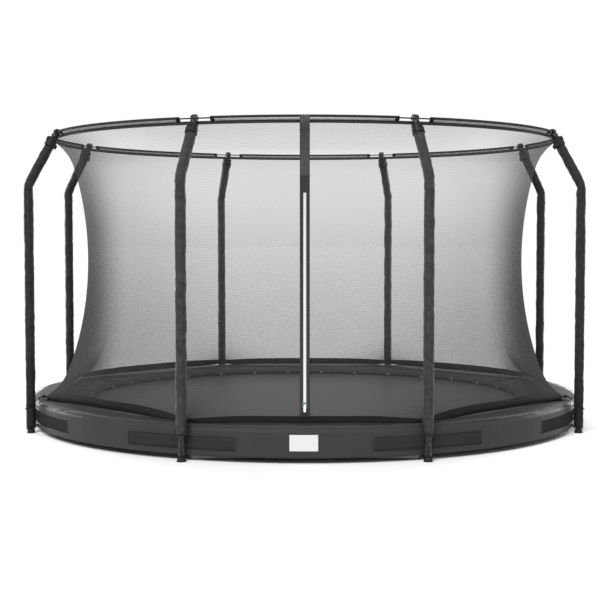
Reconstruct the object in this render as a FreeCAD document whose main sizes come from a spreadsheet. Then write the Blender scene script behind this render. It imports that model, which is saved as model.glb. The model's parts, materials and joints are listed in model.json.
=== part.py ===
import FreeCAD, Part
import math
import os
from FreeCAD import Vector

# A ground-level trampoline with a safety net. The origin is on the ground at the centre,
# +Z is up and the entry of the net faces -Y. Azimuths are in degrees from -Y towards +X.

os.makedirs("parts", exist_ok=True)
doc = FreeCAD.newDocument("Trampoline")
sheet = doc.addObject("Spreadsheet::Sheet", "Sizes")

sizes = {
    # frame
    "frameRadius": 1959,
    "railTube": 42,
    "railHeight": 170,
    "teeTube": 46,
    "teeLength": 110,
    "teeGap": 1.3,
    "legBend": 42,
    # posts
    "poleAngle": 21.43,
    "poleStand": 81,
    "poleTube": 40,
    "poleJoint": 1000,
    "footHeight": 28,
    "footWidth": 58,
    "footNeck": 48,
    "bendDrop": 364,
    "bendRun": 45,
    "armReach": 199,
    "sleeveWidth": 66,
    "sleeveDrop": 13,
    "spacerTube": 18,
    "spacerClear": 2,
    "boltLow": 50,
    "boltDrop": 58,
    "boltShank": 8,
    "boltHead": 13,
    "boltHeadHigh": 6,
    # collars, eye caps and rods
    "collarTop": 47,
    "collarStep": 78,
    "collarFoot": 109,
    "collarNarrow": 69,
    "collarWide": 77,
    "lugWide": 24,
    "lugDeep": 12,
    "lugLong": 26,
    "eyeWidth": 50,
    "eyeThick": 40,
    "eyeHole": 12,
    "socketWidth": 46,
    "socketFoot": 44,
    "ringHeight": 2078,
    "rodWidth": 8,
    # mat, rings and springs
    "springRoom": 214.6,
    "matThick": 2,
    "webbingWidth": 40,
    "webbingThick": 3,
    "ringBar": 4,
    "ringHalf": 20,
    "ringLong": 27.4,
    "springCoil": 20,
    "springWire": 5,
    "springTaper": 22,
    # pad and skirt
    "padOver": 29,
    "padWide": 421,
    "padRise": 43,
    "padCrown": 10,
    "padInnerDrop": 12,
    "seamSink": 6,
    "skirtFoot": 34,
    "skirtLap": 7,
    "skirtThick": 1.5,
    "windowLow": 70,
    "windowDrop": 52,
    "windowMargin": 8,
    "meshThick": 0.8,
    "windowWide": 21.55,
    "frontWindow": 12,
    "sideWindow": 51,
    "labelWide": 171,
    "labelHigh": 98,
    "labelFoot": 78,
    "labelAside": -6,
    "labelThick": 1,
    # net
    "netArc": 2195,
    "netArcOut": 0.5,
    "waistDrop": 879,
    "netThick": 1.5,
    "netTopInset": 17,
    "netTopDrop": 45,
    "flareLong": 233,
    "cornerInset": 25,
    "cornerRise": 37,
    "cornerFade": 90,
    "hemRise": 11,
    "hemWide": 42,
    "cornerHem": 12,
    "hemTurn": 12,
    "hemThick": 3,
    "topHemHigh": 20.5,
    "topSleeveGap": 3.3,
    # net ties
    "hookWidth": 20,
    "hookLong": 22,
    "hookClear": 3.2,
    "cordWidth": 5,
    "cordReach": 41.5,
    "cordRise": 8,
    # entry
    "stripWide": 60,
    "stripThick": 3,
    "stripOff": 7.5,
    "stripHead": 5,
    "trackWide": 20,
    "trackThick": 2,
    "trackRise": 40,
    "trackDrop": 450,
    "sliderWide": 30,
    "sliderLong": 34,
    "sliderHigh": 9,
    "sliderWall": 4.5,
    "sliderPlay": 0.6,
    "sliderRise": 14,
    "pullWide": 12,
    "pullLong": 48,
    "pullThick": 3,
    "pinWidth": 3,
    "pinPlay": 0.08,
    "slack": 0.3,
}
for row, (alias, value) in enumerate(sizes.items(), start=1):
    sheet.set(f"A{row}", alias)
    sheet.set(f"B{row}", str(value))
    sheet.setAlias(f"B{row}", alias)
doc.recompute()


def size(alias):
    return float(sheet.get(alias))


# Sizes that follow from others, as rules on the sheet and as numbers.
poleRule = "(Sizes.frameRadius + Sizes.poleStand)"
ringRule = f"({poleRule} - Sizes.armReach)"
boltHighRule = "(Sizes.railHeight - Sizes.boltDrop)"
rimRule = "(Sizes.railHeight + Sizes.padRise)"
cornerRule = "(Sizes.frameRadius - Sizes.cornerInset)"
cornerHeightRule = f"({rimRule} + Sizes.cornerRise)"
arcHeightRule = "(Sizes.ringHeight - Sizes.waistDrop)"
arcSpanRule = f"sqrt(Sizes.netArc ^ 2 - ({arcHeightRule} - {cornerHeightRule}) ^ 2)"
arcRule = f"({cornerRule} * cos(Sizes.poleAngle) + {arcSpanRule} - Sizes.netArcOut)"
sliderRule = f"({rimRule} + Sizes.hemRise + Sizes.hemWide + Sizes.trackRise + Sizes.sliderRise)"
poleRadius = size("frameRadius") + size("poleStand")
ringRadius = poleRadius - size("armReach")
ringHeight = size("ringHeight")
bendHeight = ringHeight - size("bendDrop")
railHeight = size("railHeight")
sleeveFoot = railHeight - size("sleeveDrop")
boltHigh = railHeight - size("boltDrop")
matRadius = size("frameRadius") - size("springRoom")
padOuter = size("frameRadius") + size("padOver")
padInner = padOuter - size("padWide")
padRim = railHeight + size("padRise")
skirtTop = padRim - size("skirtLap")
windowHigh = skirtTop - size("windowDrop")
cornerRadius = size("frameRadius") - size("cornerInset")
cornerHeight = padRim + size("cornerRise")
netTopRadius = ringRadius - size("netTopInset")
netTop = ringHeight - size("netTopDrop")
netArcHeight = ringHeight - size("waistDrop")
netArcSpan = math.sqrt(size("netArc") ** 2 - (netArcHeight - cornerHeight) ** 2)
frontRun = cornerRadius * math.cos(math.radians(size("poleAngle")))
netArcCentre = frontRun + netArcSpan - size("netArcOut")
hemLow = padRim + size("hemRise")
hemHigh = hemLow + size("hemWide")
cordFoot = sleeveFoot + size("cordRise")
trackFoot = hemHigh + size("trackRise")
trackHead = ringHeight - size("trackDrop")

tubeSides = 12
hiddenSides = 8
railSpans = 8
netSpans = 6
nodes = []


def keep(obj, name):
    obj.Label = name
    nodes.append(obj)
    return obj


def bound(kind, name, **rules):
    """An object of the document whose properties follow expressions on the sheet."""
    obj = doc.addObject(kind, name)
    for prop, rule in rules.items():
        obj.setExpression(prop, rule)
    return obj


def prism(name, sides, width, length, placement):
    """A straight bar with that many flat sides, its width measured across the flats."""
    obj = doc.addObject("Part::Prism", name)
    obj.Polygon = sides
    obj.setExpression("Circumradius", f"({width}) / 2 / cos({180 / sides})")
    obj.setExpression("Height", length)
    obj.setExpression("Placement", placement)
    return obj


upward = "rotation(vector(0; 0; 1); 0)"
inward = "rotation(vector(1; 0; 0); -90)"
tangent = "rotation(vector(0; 1; 0); 90)"
armTilt = "atan(Sizes.armReach / Sizes.bendDrop)"
alongArm = f"rotation(vector(1; 0; 0); -{armTilt})"


def at(azimuth, radius, height, turn=upward, aside="0", spin=0):
    """A placement rule for a piece at an azimuth, its own axis turned from +Z."""
    x = f"({radius}) * sin({azimuth}) + ({aside}) * cos({azimuth})"
    y = f"({aside}) * sin({azimuth}) - ({radius}) * cos({azimuth})"
    turns = f"rotation(vector(0; 0; 1); {azimuth}) * {turn} * rotation(vector(0; 0; 1); {spin})"
    return f"placement(vector({x}; {y}; {height}); {turns})"


def armAt(azimuth, down, aside="0", out="0", spin=0):
    """A placement rule on a post's leaning arm, at a distance below the rod."""
    radius = f"{ringRule} + ({down}) * sin({armTilt}) + ({out}) * cos({armTilt})"
    height = f"Sizes.ringHeight - ({down}) * cos({armTilt}) + ({out}) * sin({armTilt})"
    return at(azimuth, radius, height, alongArm, aside, spin)


def polar(azimuth, radius, height):
    turn = math.radians(azimuth)
    return Vector(radius * math.sin(turn), -radius * math.cos(turn), height)


def beside(azimuth, aside, radius, height):
    turn = math.radians(azimuth)
    return polar(azimuth, radius, height) + Vector(math.cos(turn), math.sin(turn), 0) * aside


def onChord(azimuth, marks, radius):
    """The radius at an azimuth of a polygon with its corners at the marks."""
    for low, high in zip(marks, marks[1:]):
        if low - 1e-6 <= azimuth <= high + 1e-6:
            half = math.radians(high - low) / 2
            off = math.radians(azimuth - (low + high) / 2)
            return radius * math.cos(half) / math.cos(off)
    raise ValueError(azimuth)


def facet(points):
    return Part.Face(Part.makePolygon(points + [points[0]]))


def skin(sections, closed=False):
    """A solid through matching loops of points, with flat faces between them."""
    count = len(sections[0])
    faces = []
    pairs = list(zip(sections, sections[1:]))
    if closed:
        pairs.append((sections[-1], sections[0]))
    for one, two in pairs:
        for i in range(count):
            k = (i + 1) % count
            a, b, c, d = one[i], one[k], two[k], two[i]
            normal = (b - a).cross(d - a)
            if abs((c - a).dot(normal)) < 1e-7 * normal.Length:
                faces.append(facet([a, b, c, d]))
            elif c.z - a.z >= d.z - b.z:
                faces.append(facet([a, b, c]))
                faces.append(facet([a, c, d]))
            else:
                faces.append(facet([a, b, d]))
                faces.append(facet([b, c, d]))
    if not closed:
        faces.append(facet(list(sections[0])))
        faces.append(facet(list(sections[-1])))
    shell = Part.makeShell(faces)
    solid = Part.Solid(shell)
    if solid.Volume < 0:
        solid.reverse()
    return solid


def strut(path, width, sides, flat):
    """A bar of flat sides along a path of points, mitred at each turn."""
    along = (path[1] - path[0]).normalize()
    across = (flat - along * flat.dot(along)).normalize()
    third = along.cross(across)
    corner = width / 2 / math.cos(math.pi / sides)
    loop = []
    for i in range(sides):
        turn = 2 * math.pi * (i + 0.5) / sides
        loop.append(path[0] + across * corner * math.cos(turn) + third * corner * math.sin(turn))
    sections = [loop]
    for i in range(1, len(path)):
        along = (path[i] - path[i - 1]).normalize()
        ahead = (path[i + 1] - path[i]).normalize() if i + 1 < len(path) else along
        mitre = (along + ahead).normalize()
        slid = []
        for p in sections[-1]:
            slid.append(p + along * ((path[i] - p).dot(mitre) / along.dot(mitre)))
        sections.append(slid)
    return skin(sections)


def feature(name, shape):
    obj = doc.addObject("Part::Feature", name)
    obj.Shape = shape
    return obj


def computed(name, shape):
    return keep(feature(name, shape), name)


def group(name, shapes):
    return computed(name, Part.makeCompound(shapes))


def fused(name, members):
    obj = doc.addObject("Part::MultiFuse", name)
    obj.Shapes = members
    return obj


def cut(name, base, tool):
    obj = doc.addObject("Part::Cut", name)
    obj.Base = base
    obj.Tool = tool
    return obj


def gathered(name, members):
    obj = doc.addObject("Part::Compound", name)
    obj.Links = members
    return keep(obj, name)


# Eight posts stand in four pairs, one pair on each leg.
poleAngle = size("poleAngle")
stations = []
rules = []
for quarter in range(4):
    for sign in (-1, 1):
        stations.append(90 * quarter + sign * poleAngle)
        rules.append(f"({90 * quarter} {'+' if sign > 0 else '-'} Sizes.poleAngle)")
panels = list(zip(stations, stations[1:] + [stations[0] + 360]))


def spread(low, high, spans):
    return [low + (high - low) * i / spans for i in range(spans + 1)]


railMarks = []
netMarks = []
for low, high in panels:
    railMarks += spread(low, high, railSpans)[:-1]
    netMarks += spread(low, high, netSpans)[:-1]
railRound = railMarks + [railMarks[0] + 360]
netRound = netMarks + [netMarks[0] + 360]
springMarks = [(low + high) / 2 for low, high in zip(railRound, railRound[1:])]

frameRadius = size("frameRadius")
railTube = size("railTube")
slack = size("slack")

# Top rail: eight curved tubes between the T-heads of the legs.
teeAngle = math.degrees(math.asin((size("teeLength") / 2 + size("teeGap")) / frameRadius))
for number, (low, high) in enumerate(panels, start=1):
    marks = spread(low, high, railSpans)
    stops = [low + teeAngle] + marks[1:-1] + [high - teeAngle]
    path = [polar(a, onChord(a, marks, frameRadius), railHeight) for a in stops]
    computed(f"rail_{number}", strut(path, railTube, hiddenSides, Vector(0, 0, 1)))

# Legs: a tube bent to a U, with a T-head welded to the top of each upright.
legNames = ["leg_front", "leg_right", "leg_back", "leg_left"]
legBend = size("legBend")
for quarter, name in enumerate(legNames):
    ends = [stations[2 * quarter], stations[2 * quarter + 1]]
    feet = [polar(a, frameRadius, railTube / 2) for a in ends]
    inside = (feet[1] - feet[0]).normalize() * legBend
    rise = Vector(0, 0, legBend)
    top = Vector(0, 0, railHeight - railTube / 2)
    path = [feet[0] + top, feet[0] + rise, feet[0] + inside]
    path += [feet[1] - inside, feet[1] + rise, feet[1] + top]
    members = [feature(f"{name}_tube", strut(path, railTube, hiddenSides, inside))]
    for end in (0, 1):
        rule = rules[2 * quarter + end]
        place = at(rule, "Sizes.frameRadius", "Sizes.railHeight", tangent,
                   "-Sizes.teeLength / 2", 180 / hiddenSides)
        tee = prism(f"{name}_tee_{end + 1}", hiddenSides, "Sizes.teeTube", "Sizes.teeLength", place)
        members.append(tee)
    keep(fused(name, members), name)

# Posts: a straight lower tube with two stand-off sleeves, a bent upper tube, a soft sleeve.
arm = Vector(0, poleRadius - ringRadius, ringHeight - bendHeight)
armLength = arm.Length
lean = math.atan2(poleRadius - ringRadius, ringHeight - bendHeight)


def postPath(azimuth, foot, short):
    """Points up a post's axis, round its bend and along the arm, ending short of the rod."""
    run = size("bendRun")
    rounding = run / math.tan(lean / 2)
    points = [(poleRadius, foot), (poleRadius, bendHeight - run)]
    middle = lean / 2
    points.append((poleRadius - rounding * (1 - math.cos(middle)),
                   bendHeight - run + rounding * math.sin(middle)))
    points.append((poleRadius - run * math.sin(lean), bendHeight + run * math.cos(lean)))
    reach = armLength - short
    points.append((poleRadius - reach * math.sin(lean), bendHeight + reach * math.cos(lean)))
    return [polar(azimuth, radius, height) for radius, height in points]


bolts = []
collars = []
caps = []
for number, (azimuth, rule) in enumerate(zip(stations, rules), start=1):
    foot = "Sizes.footHeight + Sizes.slack"
    tube = prism(f"lower_tube_{number}", hiddenSides, "Sizes.poleTube",
                 f"Sizes.poleJoint - ({foot})", at(rule, poleRule, foot, spin=180 / hiddenSides))
    members = [tube]
    reach = "Sizes.poleStand - Sizes.railTube / 2 - Sizes.spacerClear"
    for level, height in (("low", "Sizes.boltLow"), ("high", boltHighRule)):
        members.append(prism(f"spacer_{level}_{number}", 6, "Sizes.spacerTube", reach,
                             at(rule, poleRule, height, inward)))
        head = prism(f"bolt_head_{level}_{number}", 6, "Sizes.boltHead", "Sizes.boltHeadHigh",
                     at(rule, f"{poleRule} + Sizes.poleTube / 2 + Sizes.boltHeadHigh + Sizes.slack",
                        height, inward))
        shank = prism(f"bolt_shank_{level}_{number}", 4, "Sizes.boltShank",
                      "Sizes.poleStand + Sizes.poleTube / 2 + Sizes.slack",
                      at(rule, f"{poleRule} + Sizes.poleTube / 2 + Sizes.slack", height, inward))
        bolts.append(fused(f"bolt_{level}_{number}", [head, shank]))
    keep(fused(f"pole_lower_{number}", members), f"pole_lower_{number}")

    radial = polar(azimuth, 1, 0)
    upperFoot = size("poleJoint") + slack
    path = postPath(azimuth, upperFoot, size("socketFoot") + slack)
    computed(f"pole_upper_{number}", strut(path, size("poleTube"), hiddenSides, radial))

    path = postPath(azimuth, sleeveFoot, size("collarFoot") + slack)
    outside = strut(path, size("sleeveWidth"), tubeSides, radial)
    bore = strut(path, size("poleTube") + 2 * slack, hiddenSides, radial)
    computed(f"pole_sleeve_{number}", outside.cut(bore))

    # Collar: a stepped clamp with a lug outside and a lug inside.
    turn = 180 / tubeSides
    narrow = prism(f"collar_narrow_{number}", tubeSides, "Sizes.collarNarrow",
                   "Sizes.collarStep - Sizes.collarTop", armAt(rule, "Sizes.collarStep", spin=turn))
    wide = prism(f"collar_wide_{number}", tubeSides, "Sizes.collarWide",
                 "Sizes.collarFoot - Sizes.collarStep", armAt(rule, "Sizes.collarFoot", spin=turn))
    lugs = []
    for side, down, out in (("outer", "Sizes.collarStep", "Sizes.collarNarrow / 2 - 4"),
                            ("inner", "Sizes.collarFoot",
                             "-Sizes.collarWide / 2 + 4 - Sizes.lugDeep")):
        lug = bound("Part::Box", f"collar_lug_{side}_{number}", Length="Sizes.lugWide",
                    Width="Sizes.lugDeep", Height="Sizes.lugLong")
        lug.setExpression("Placement", armAt(rule, down, "-Sizes.lugWide / 2",
                                             f"({out}) + Sizes.lugDeep"))
        lugs.append(lug)
    body = fused(f"collar_body_{number}", [narrow, wide] + lugs)
    hole = prism(f"collar_bore_{number}", hiddenSides, "Sizes.poleTube + 2 * Sizes.slack",
                 "Sizes.collarFoot", armAt(rule, "Sizes.collarFoot + 5", spin=180 / hiddenSides))
    collars.append(cut(f"collar_{number}", body, hole))

    # Eye cap: a socket on the tube's end and an eye for the rod.
    eye = prism(f"eye_{number}", tubeSides, "Sizes.eyeWidth", "Sizes.eyeThick",
                at(rule, ringRule, "Sizes.ringHeight", tangent, "-Sizes.eyeThick / 2"))
    socket = prism(f"socket_{number}", hiddenSides, "Sizes.socketWidth",
                   "Sizes.socketFoot - Sizes.eyeHole",
                   armAt(rule, "Sizes.socketFoot", spin=180 / hiddenSides))
    hole = prism(f"eye_hole_{number}", 6, "Sizes.eyeHole", "Sizes.socketWidth + 4",
                 at(rule, ringRule, "Sizes.ringHeight", tangent,
                    "-Sizes.socketWidth / 2 - 2"))
    caps.append(cut(f"cap_{number}", fused(f"cap_body_{number}", [eye, socket]), hole))
gathered("pole_bolts", bolts)
gathered("pole_collars", collars)
gathered("ring_caps", caps)


def evenLoop(azimuth, radius, height, width, sides):
    """A level loop of points round a post's axis."""
    corner = width / 2 / math.cos(math.pi / sides)
    loop = []
    for i in range(sides):
        turn = 2 * math.pi * (i + 0.5) / sides
        loop.append(beside(azimuth, corner * math.cos(turn),
                           radius + corner * math.sin(turn), height))
    return loop


feet = []
for azimuth in stations:
    flare = [(0, size("footWidth")), (size("footHeight"), size("footNeck"))]
    feet.append(skin([evenLoop(azimuth, poleRadius, z, w, tubeSides) for z, w in flare]))
group("foot_caps", feet)

# Rods: one per panel, from the middle of one eye cap to the middle of the next.
rods = []
for low, high in panels:
    marks = spread(low, high, netSpans)
    butt = 0.01
    stops = [low + butt] + marks[1:-1] + [high - butt]
    path = [polar(a, onChord(a, marks, ringRadius), ringHeight) for a in stops]
    rods.append(strut(path, size("rodWidth"), 6, Vector(0, 0, 1)))
group("ring_rods", rods)


def band(marks, profile, closed=True):
    """A solid round the axis: a loop of (radius, height) points at every mark."""
    sections = []
    for azimuth in marks:
        sections.append([polar(azimuth, radius, height) for radius, height in profile(azimuth)])
    return skin(sections, closed)


# Mat: a sheet cut to a polygon with a corner at each ring, and webbing sewn to its edge.
matTop = railHeight + size("matThick") / 2
rim = [polar(a, matRadius, matTop - size("matThick")) for a in springMarks]
computed("mat", facet(rim).extrude(Vector(0, 0, size("matThick"))))
webLow = matTop + slack
webHigh = webLow + size("webbingThick")
webInner = matRadius - size("webbingWidth")
computed("mat_webbing", band(springMarks, lambda a: [
    (webInner, webLow), (matRadius, webLow), (matRadius, webHigh), (webInner, webHigh)]))

# Rings: flat open triangles between the webbing and the springs.
ringBar = size("ringBar")
ringHalf = size("ringHalf")
ringFoot = matRadius + slack
ringTip = ringFoot + size("ringLong")
rings = []
for azimuth in springMarks:
    low = railHeight - ringBar / 2
    outer = [(-ringHalf, ringFoot), (ringHalf, ringFoot), (0, ringTip)]
    slope = math.hypot(ringHalf, ringTip - ringFoot) / ringHalf
    shrink = ringHalf - ringBar * (slope + 0.85)
    inner = [(-shrink, ringFoot + ringBar), (shrink, ringFoot + ringBar),
             (0, ringTip - ringBar * 1.65)]
    faces = []
    for corners in (outer, inner):
        faces.append(facet([beside(azimuth, x, r, low) for x, r in corners]))
    rings.append(faces[0].cut(faces[1]).Faces[0].extrude(Vector(0, 0, ringBar)))
group("v_rings", rings)

# Springs: a coil body tapering to the wire at both ends, hooked between ring and rail.
springs = []
for low, high in zip(railRound, railRound[1:]):
    azimuth = (low + high) / 2
    outerEnd = onChord(azimuth, [low, high], frameRadius) - railTube / 2 - slack
    innerEnd = ringTip + slack
    taper = size("springTaper")
    steps = [(innerEnd, size("springWire")), (innerEnd + taper, size("springCoil")),
             (outerEnd - taper, size("springCoil")), (outerEnd, size("springWire"))]
    sections = []
    for radius, width in steps:
        corner = width / 2 / math.cos(math.pi / 4)
        loop = []
        for i in range(4):
            turn = 2 * math.pi * (i + 0.5) / 4
            loop.append(beside(azimuth, corner * math.cos(turn), radius,
                               railHeight + corner * math.sin(turn)))
        sections.append(loop)
    springs.append(skin(sections))
group("springs", springs)

# Pad: eight sewn cushions, crowned across, thinner at the seams over the posts.
padBottom = railHeight + size("teeTube") / 2 + slack
overSprings = railHeight + size("springCoil") / 2 + 2
padSections = []
for low, high in panels:
    marks = spread(low, high, railSpans)
    seam = 0.008
    marks[0] += seam
    marks[-1] -= seam

    def padProfile(azimuth, low=low, high=high):
        edge = min(azimuth - low, high - azimuth)
        sink = size("seamSink") if edge < 1 else 0
        rimTop = padRim
        crown = rimTop + size("padCrown") - sink
        innerTop = rimTop - size("padInnerDrop") - sink / 2
        return [
            (padInner, matTop + 4.5),
            (matRadius + 8, overSprings),
            (frameRadius - 29, overSprings),
            (frameRadius - 23, padBottom),
            (padOuter, padBottom),
            (padOuter, rimTop - 6),
            (padOuter - 9, rimTop - sink / 2),
            (padOuter - 140, crown),
            (padInner + 18, innerTop),
            (padInner, innerTop - 8),
        ]

    padSections.append(band(marks, padProfile, closed=False))
group("pad", padSections)

loops = []
for low, high in panels:
    for azimuth in spread(low, high, railSpans)[1:-1:2]:
        half = 6
        corners = [(-half, 176), (half, 176), (half, 186), (-half, 186)]
        near = [beside(azimuth, x, padInner - slack - 0.6, z) for x, z in corners]
        far = [beside(azimuth, x, padInner - slack - 5, z) for x, z in corners]
        loops.append(skin([near, far]))
group("pad_loops", loops)

# Skirt: a hanging wall with a mesh window behind each post.
skirtInner = padOuter + 0.4
skirtOuter = skirtInner + size("skirtThick")
skirtFoot = size("skirtFoot")
wall = band(railMarks, lambda a: [
    (skirtInner, skirtFoot), (skirtOuter, skirtFoot), (skirtOuter, skirtTop), (skirtInner, skirtTop)])
windowWide = size("windowWide")
windowStarts = []
for start in (size("frontWindow"), size("sideWindow")):
    windowStarts += [start, 180 - start - windowWide]
windowStarts += [-start - windowWide for start in windowStarts]
holes = []
meshes = []
margin = math.degrees(size("windowMargin") / padOuter)
holeTube = size("spacerTube") + 6


def throughHole(azimuth, height):
    """A cutter for a stand-off sleeve to pass through cloth."""
    near = polar(azimuth, skirtInner - 12, height)
    return strut([near, polar(azimuth, skirtOuter + 12, height)], holeTube, 6, Vector(0, 0, 1))


posts = stations + [a - 360 for a in stations]
roundTwice = [a - 360 for a in railRound[:-1]] + railRound
for start in windowStarts:
    holes.append(band([start, start + windowWide], lambda a: [
        (skirtInner - 60, size("windowLow")), (skirtOuter + 60, size("windowLow")),
        (skirtOuter + 60, windowHigh), (skirtInner - 60, windowHigh)], False))
    ends = (start - margin, start + windowWide + margin)
    marks = [ends[0]] + [a for a in roundTwice if ends[0] < a < ends[1]] + [ends[1]]
    meshOuter = skirtInner - slack
    meshInner = meshOuter - size("meshThick")
    low = size("windowLow") - size("windowMargin")
    high = windowHigh + size("windowMargin")
    cloth = band(marks, lambda a: [
        (onChord(a, roundTwice, meshInner), low), (onChord(a, roundTwice, meshOuter), low),
        (onChord(a, roundTwice, meshOuter), high), (onChord(a, roundTwice, meshInner), high)],
        False)
    for azimuth in posts:
        if ends[0] < azimuth < ends[1]:
            cloth = cloth.cut(throughHole(azimuth, boltHigh))
    meshes.append(cloth)
for azimuth in stations:
    holes.append(throughHole(azimuth, size("boltLow")))
computed("pad_skirt", wall.cut(Part.makeCompound(holes)))
group("vent_windows", meshes)

labelRoom = skirtOuter + slack
labelEnds = [size("labelAside") + side * size("labelWide") / 2 for side in (-1, 1)]
labelSections = []
for aside in (labelEnds[0], 0, labelEnds[1]):
    azimuth = math.degrees(math.asin(aside / labelRoom))
    near = onChord(azimuth, roundTwice, labelRoom)
    far = near + size("labelThick")
    low = size("labelFoot")
    high = low + size("labelHigh")
    corners = [(near, low), (far, low), (far, high), (near, high)]
    labelSections.append([polar(azimuth, radius, height) for radius, height in corners])
computed("skirt_label", skin(labelSections))


# Net: drawn in to a waist between the rod ring and eight tied corners at the bottom.
def arcRadius(height, inset=0):
    """The waist's profile, a circular arc whose centre lies outside the net."""
    bow = size("netArc") - inset
    rise = height - netArcHeight
    return netArcCentre - math.sqrt(bow * bow - rise * rise)


def netProfile(height):
    start = netTop - size("flareLong")
    radius = arcRadius(height)
    if height > start:
        lift = netTopRadius - arcRadius(netTop)
        radius += lift * ((height - start) / (netTop - start)) ** 3
    return radius


def panelShare(azimuth):
    """How far an azimuth lies from its panel's middle: 0 there, 1 at the posts."""
    for low, high in panels:
        if low - 1e-6 <= azimuth <= high + 1e-6:
            return abs(azimuth - (low + high) / 2) / ((high - low) / 2), (high - low) / 2
    raise ValueError(azimuth)


def netRadius(azimuth, height):
    share, half = panelShare(azimuth)
    straight = cornerRadius * math.cos(math.radians(half))
    straight /= math.cos(math.radians(half * share))
    pull = math.exp(-(height - cornerHeight) / size("cornerFade"))
    return netProfile(height) + min(pull, 1) * (straight - arcRadius(cornerHeight))


def hemLevels(azimuth):
    share, half = panelShare(azimuth)
    corner = share ** size("hemTurn")
    low = hemLow + (cornerHeight - size("cornerHem") / 2 - hemLow) * corner
    high = hemHigh + (cornerHeight + size("cornerHem") / 2 - hemHigh) * corner
    return low, high


netRows = (0, 0.06, 0.2, 0.36, 0.52, 0.68, 0.82, 0.92, 1)


def netLoop(azimuth):
    foot = hemLevels(azimuth)[1] + slack
    half = size("netThick") / 2
    levels = [foot + (netTop - foot) * share for share in netRows]
    outer = [(netRadius(azimuth, z) + half, z) for z in levels]
    inner = [(netRadius(azimuth, z) - half, z) for z in reversed(levels)]
    return outer + inner


computed("net", band(netMarks, netLoop))


def hemLoop(azimuth):
    low, high = hemLevels(azimuth)
    half = size("hemThick") / 2
    foot = netRadius(azimuth, low)
    head = netRadius(azimuth, high)
    return [(foot + half, low), (head + half, high), (head - half, high), (foot - half, low)]


computed("net_bottom_hem", band(netMarks, hemLoop))
topLow = netTop + slack
topHigh = topLow + size("topHemHigh")
topRadius = netTopRadius
computed("net_top_hem", band(netMarks, lambda a: [
    (topRadius - 1, topLow), (topRadius + 1, topLow),
    (topRadius + 1, topHigh), (topRadius - 1, topHigh)]))

# Top sleeve: a thin cover folded over each rod, open for a short way beside each post.
topSleeves = []
sleeveHalf = size("rodWidth") / 2 + 4
sleeveHead = ringHeight + sleeveHalf
for low, high in panels:
    marks = spread(low, high, netSpans)
    gap = size("topSleeveGap")
    stops = [low + gap] + marks[1:-1] + [high - gap]
    foot = topHigh + slack
    outer = [(topRadius - 3.5, foot), (ringRadius + 1, foot),
             (ringRadius + sleeveHalf + 1, sleeveHead), (ringRadius - sleeveHalf, sleeveHead)]
    inner = [(topRadius - 2, foot + 1), (ringRadius - 0.4, foot + 1),
             (ringRadius + sleeveHalf - 0.4, sleeveHead - 1),
             (ringRadius - sleeveHalf + 1.4, sleeveHead - 1)]

    def tent(azimuth, marks=marks):
        scale = onChord(azimuth, marks, 1)
        return [(radius * scale, height) for radius, height in outer]

    def hollow(azimuth, marks=marks):
        scale = onChord(azimuth, marks, 1)
        return [(radius * scale, height) for radius, height in inner]

    room = [low + gap / 2] + marks[1:-1] + [high - gap / 2]
    topSleeves.append(band(stops, tent, False).cut(band(room, hollow, False)))
group("net_top_sleeve", topSleeves)

# Ties: a stopper at each lower corner and a cord from it round the foot of the post's sleeve.
hooks = []
cords = []
for azimuth, rule in zip(stations, rules):
    hookEnd = f"{cornerRule} + Sizes.hemThick / 2 + Sizes.hookClear + Sizes.hookLong"
    hooks.append(prism(f"hook_{len(hooks) + 1}", 8, "Sizes.hookWidth", "Sizes.hookLong",
                       at(rule, hookEnd, cornerHeightRule, inward, spin=22.5)))
    start = cornerRadius + size("hemThick") / 2 + size("hookClear") + size("hookLong")
    start += size("cordWidth") / 2 + slack
    reach = size("cordReach")
    slant = reach * math.cos(math.radians(45))
    half = [(5, start, cornerHeight), (33, poleRadius - 37, cornerHeight - 24),
            (reach, poleRadius, cornerHeight - 46), (slant, poleRadius + slant, cordFoot + 13)]
    whole = half + [(0, poleRadius + reach, cordFoot)]
    whole += [(-x, r, z) for x, r, z in reversed(half)]
    path = [beside(azimuth, x, r, z) for x, r, z in whole]
    cords.append(strut(path, size("cordWidth"), 4, Vector(0, 0, 1)))
gathered("net_hooks", hooks)
group("net_cords", cords)


# Entry: webbing down the front of the net with a zip that follows the waist's arc.
def upright(width, inset, thick, levels, heads=()):
    """A strip up the front of the net, standing off it by an inset, and past its top."""
    sections = []
    rows = []
    for height in levels:
        shift = netProfile(height) - arcRadius(height)
        rows.append((height, arcRadius(height, inset + thick / 2) + shift,
                     arcRadius(height, inset - thick / 2) + shift))
    rows += [(height, radius + thick / 2, radius - thick / 2) for height, radius in heads]
    for height, out, back in rows:
        outer = -out
        inner = -back
        half = width / 2
        sections.append([Vector(-half, outer, height), Vector(half, outer, height),
                         Vector(half, inner, height), Vector(-half, inner, height)])
    return skin(sections)


trackLevels = spread(trackFoot, trackHead, 18)
foot = hemHigh + slack
netLevels = [foot + (netTop - foot) * share for share in netRows]
stripLevels = [hemLow + 2] + trackLevels
stripLevels += [z for z in netLevels if trackHead < z < netTop - size("stripHead")]
stripHeads = [(netTop - size("stripHead"), netTopRadius + size("stripOff")),
              (topHigh + slack - 1, ringRadius + 1 + size("stripThick") / 2 + slack + 1),
              (sleeveHead - 1, ringRadius + sleeveHalf + 1 + size("stripThick") / 2 + slack)]
computed("zip_strip", upright(size("stripWide"), size("stripOff"), size("stripThick"),
                              stripLevels, stripHeads))
trackInset = size("stripOff") + size("stripThick") / 2 + slack + size("trackThick") / 2
computed("zip_track", upright(size("trackWide"), trackInset, size("trackThick"), trackLevels))

zipTurn = f"asin(({sliderRule} - {arcHeightRule}) / Sizes.netArc)"
trackFace = "Sizes.netArc - Sizes.stripOff - Sizes.stripThick / 2 - Sizes.slack - Sizes.trackThick"


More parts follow.
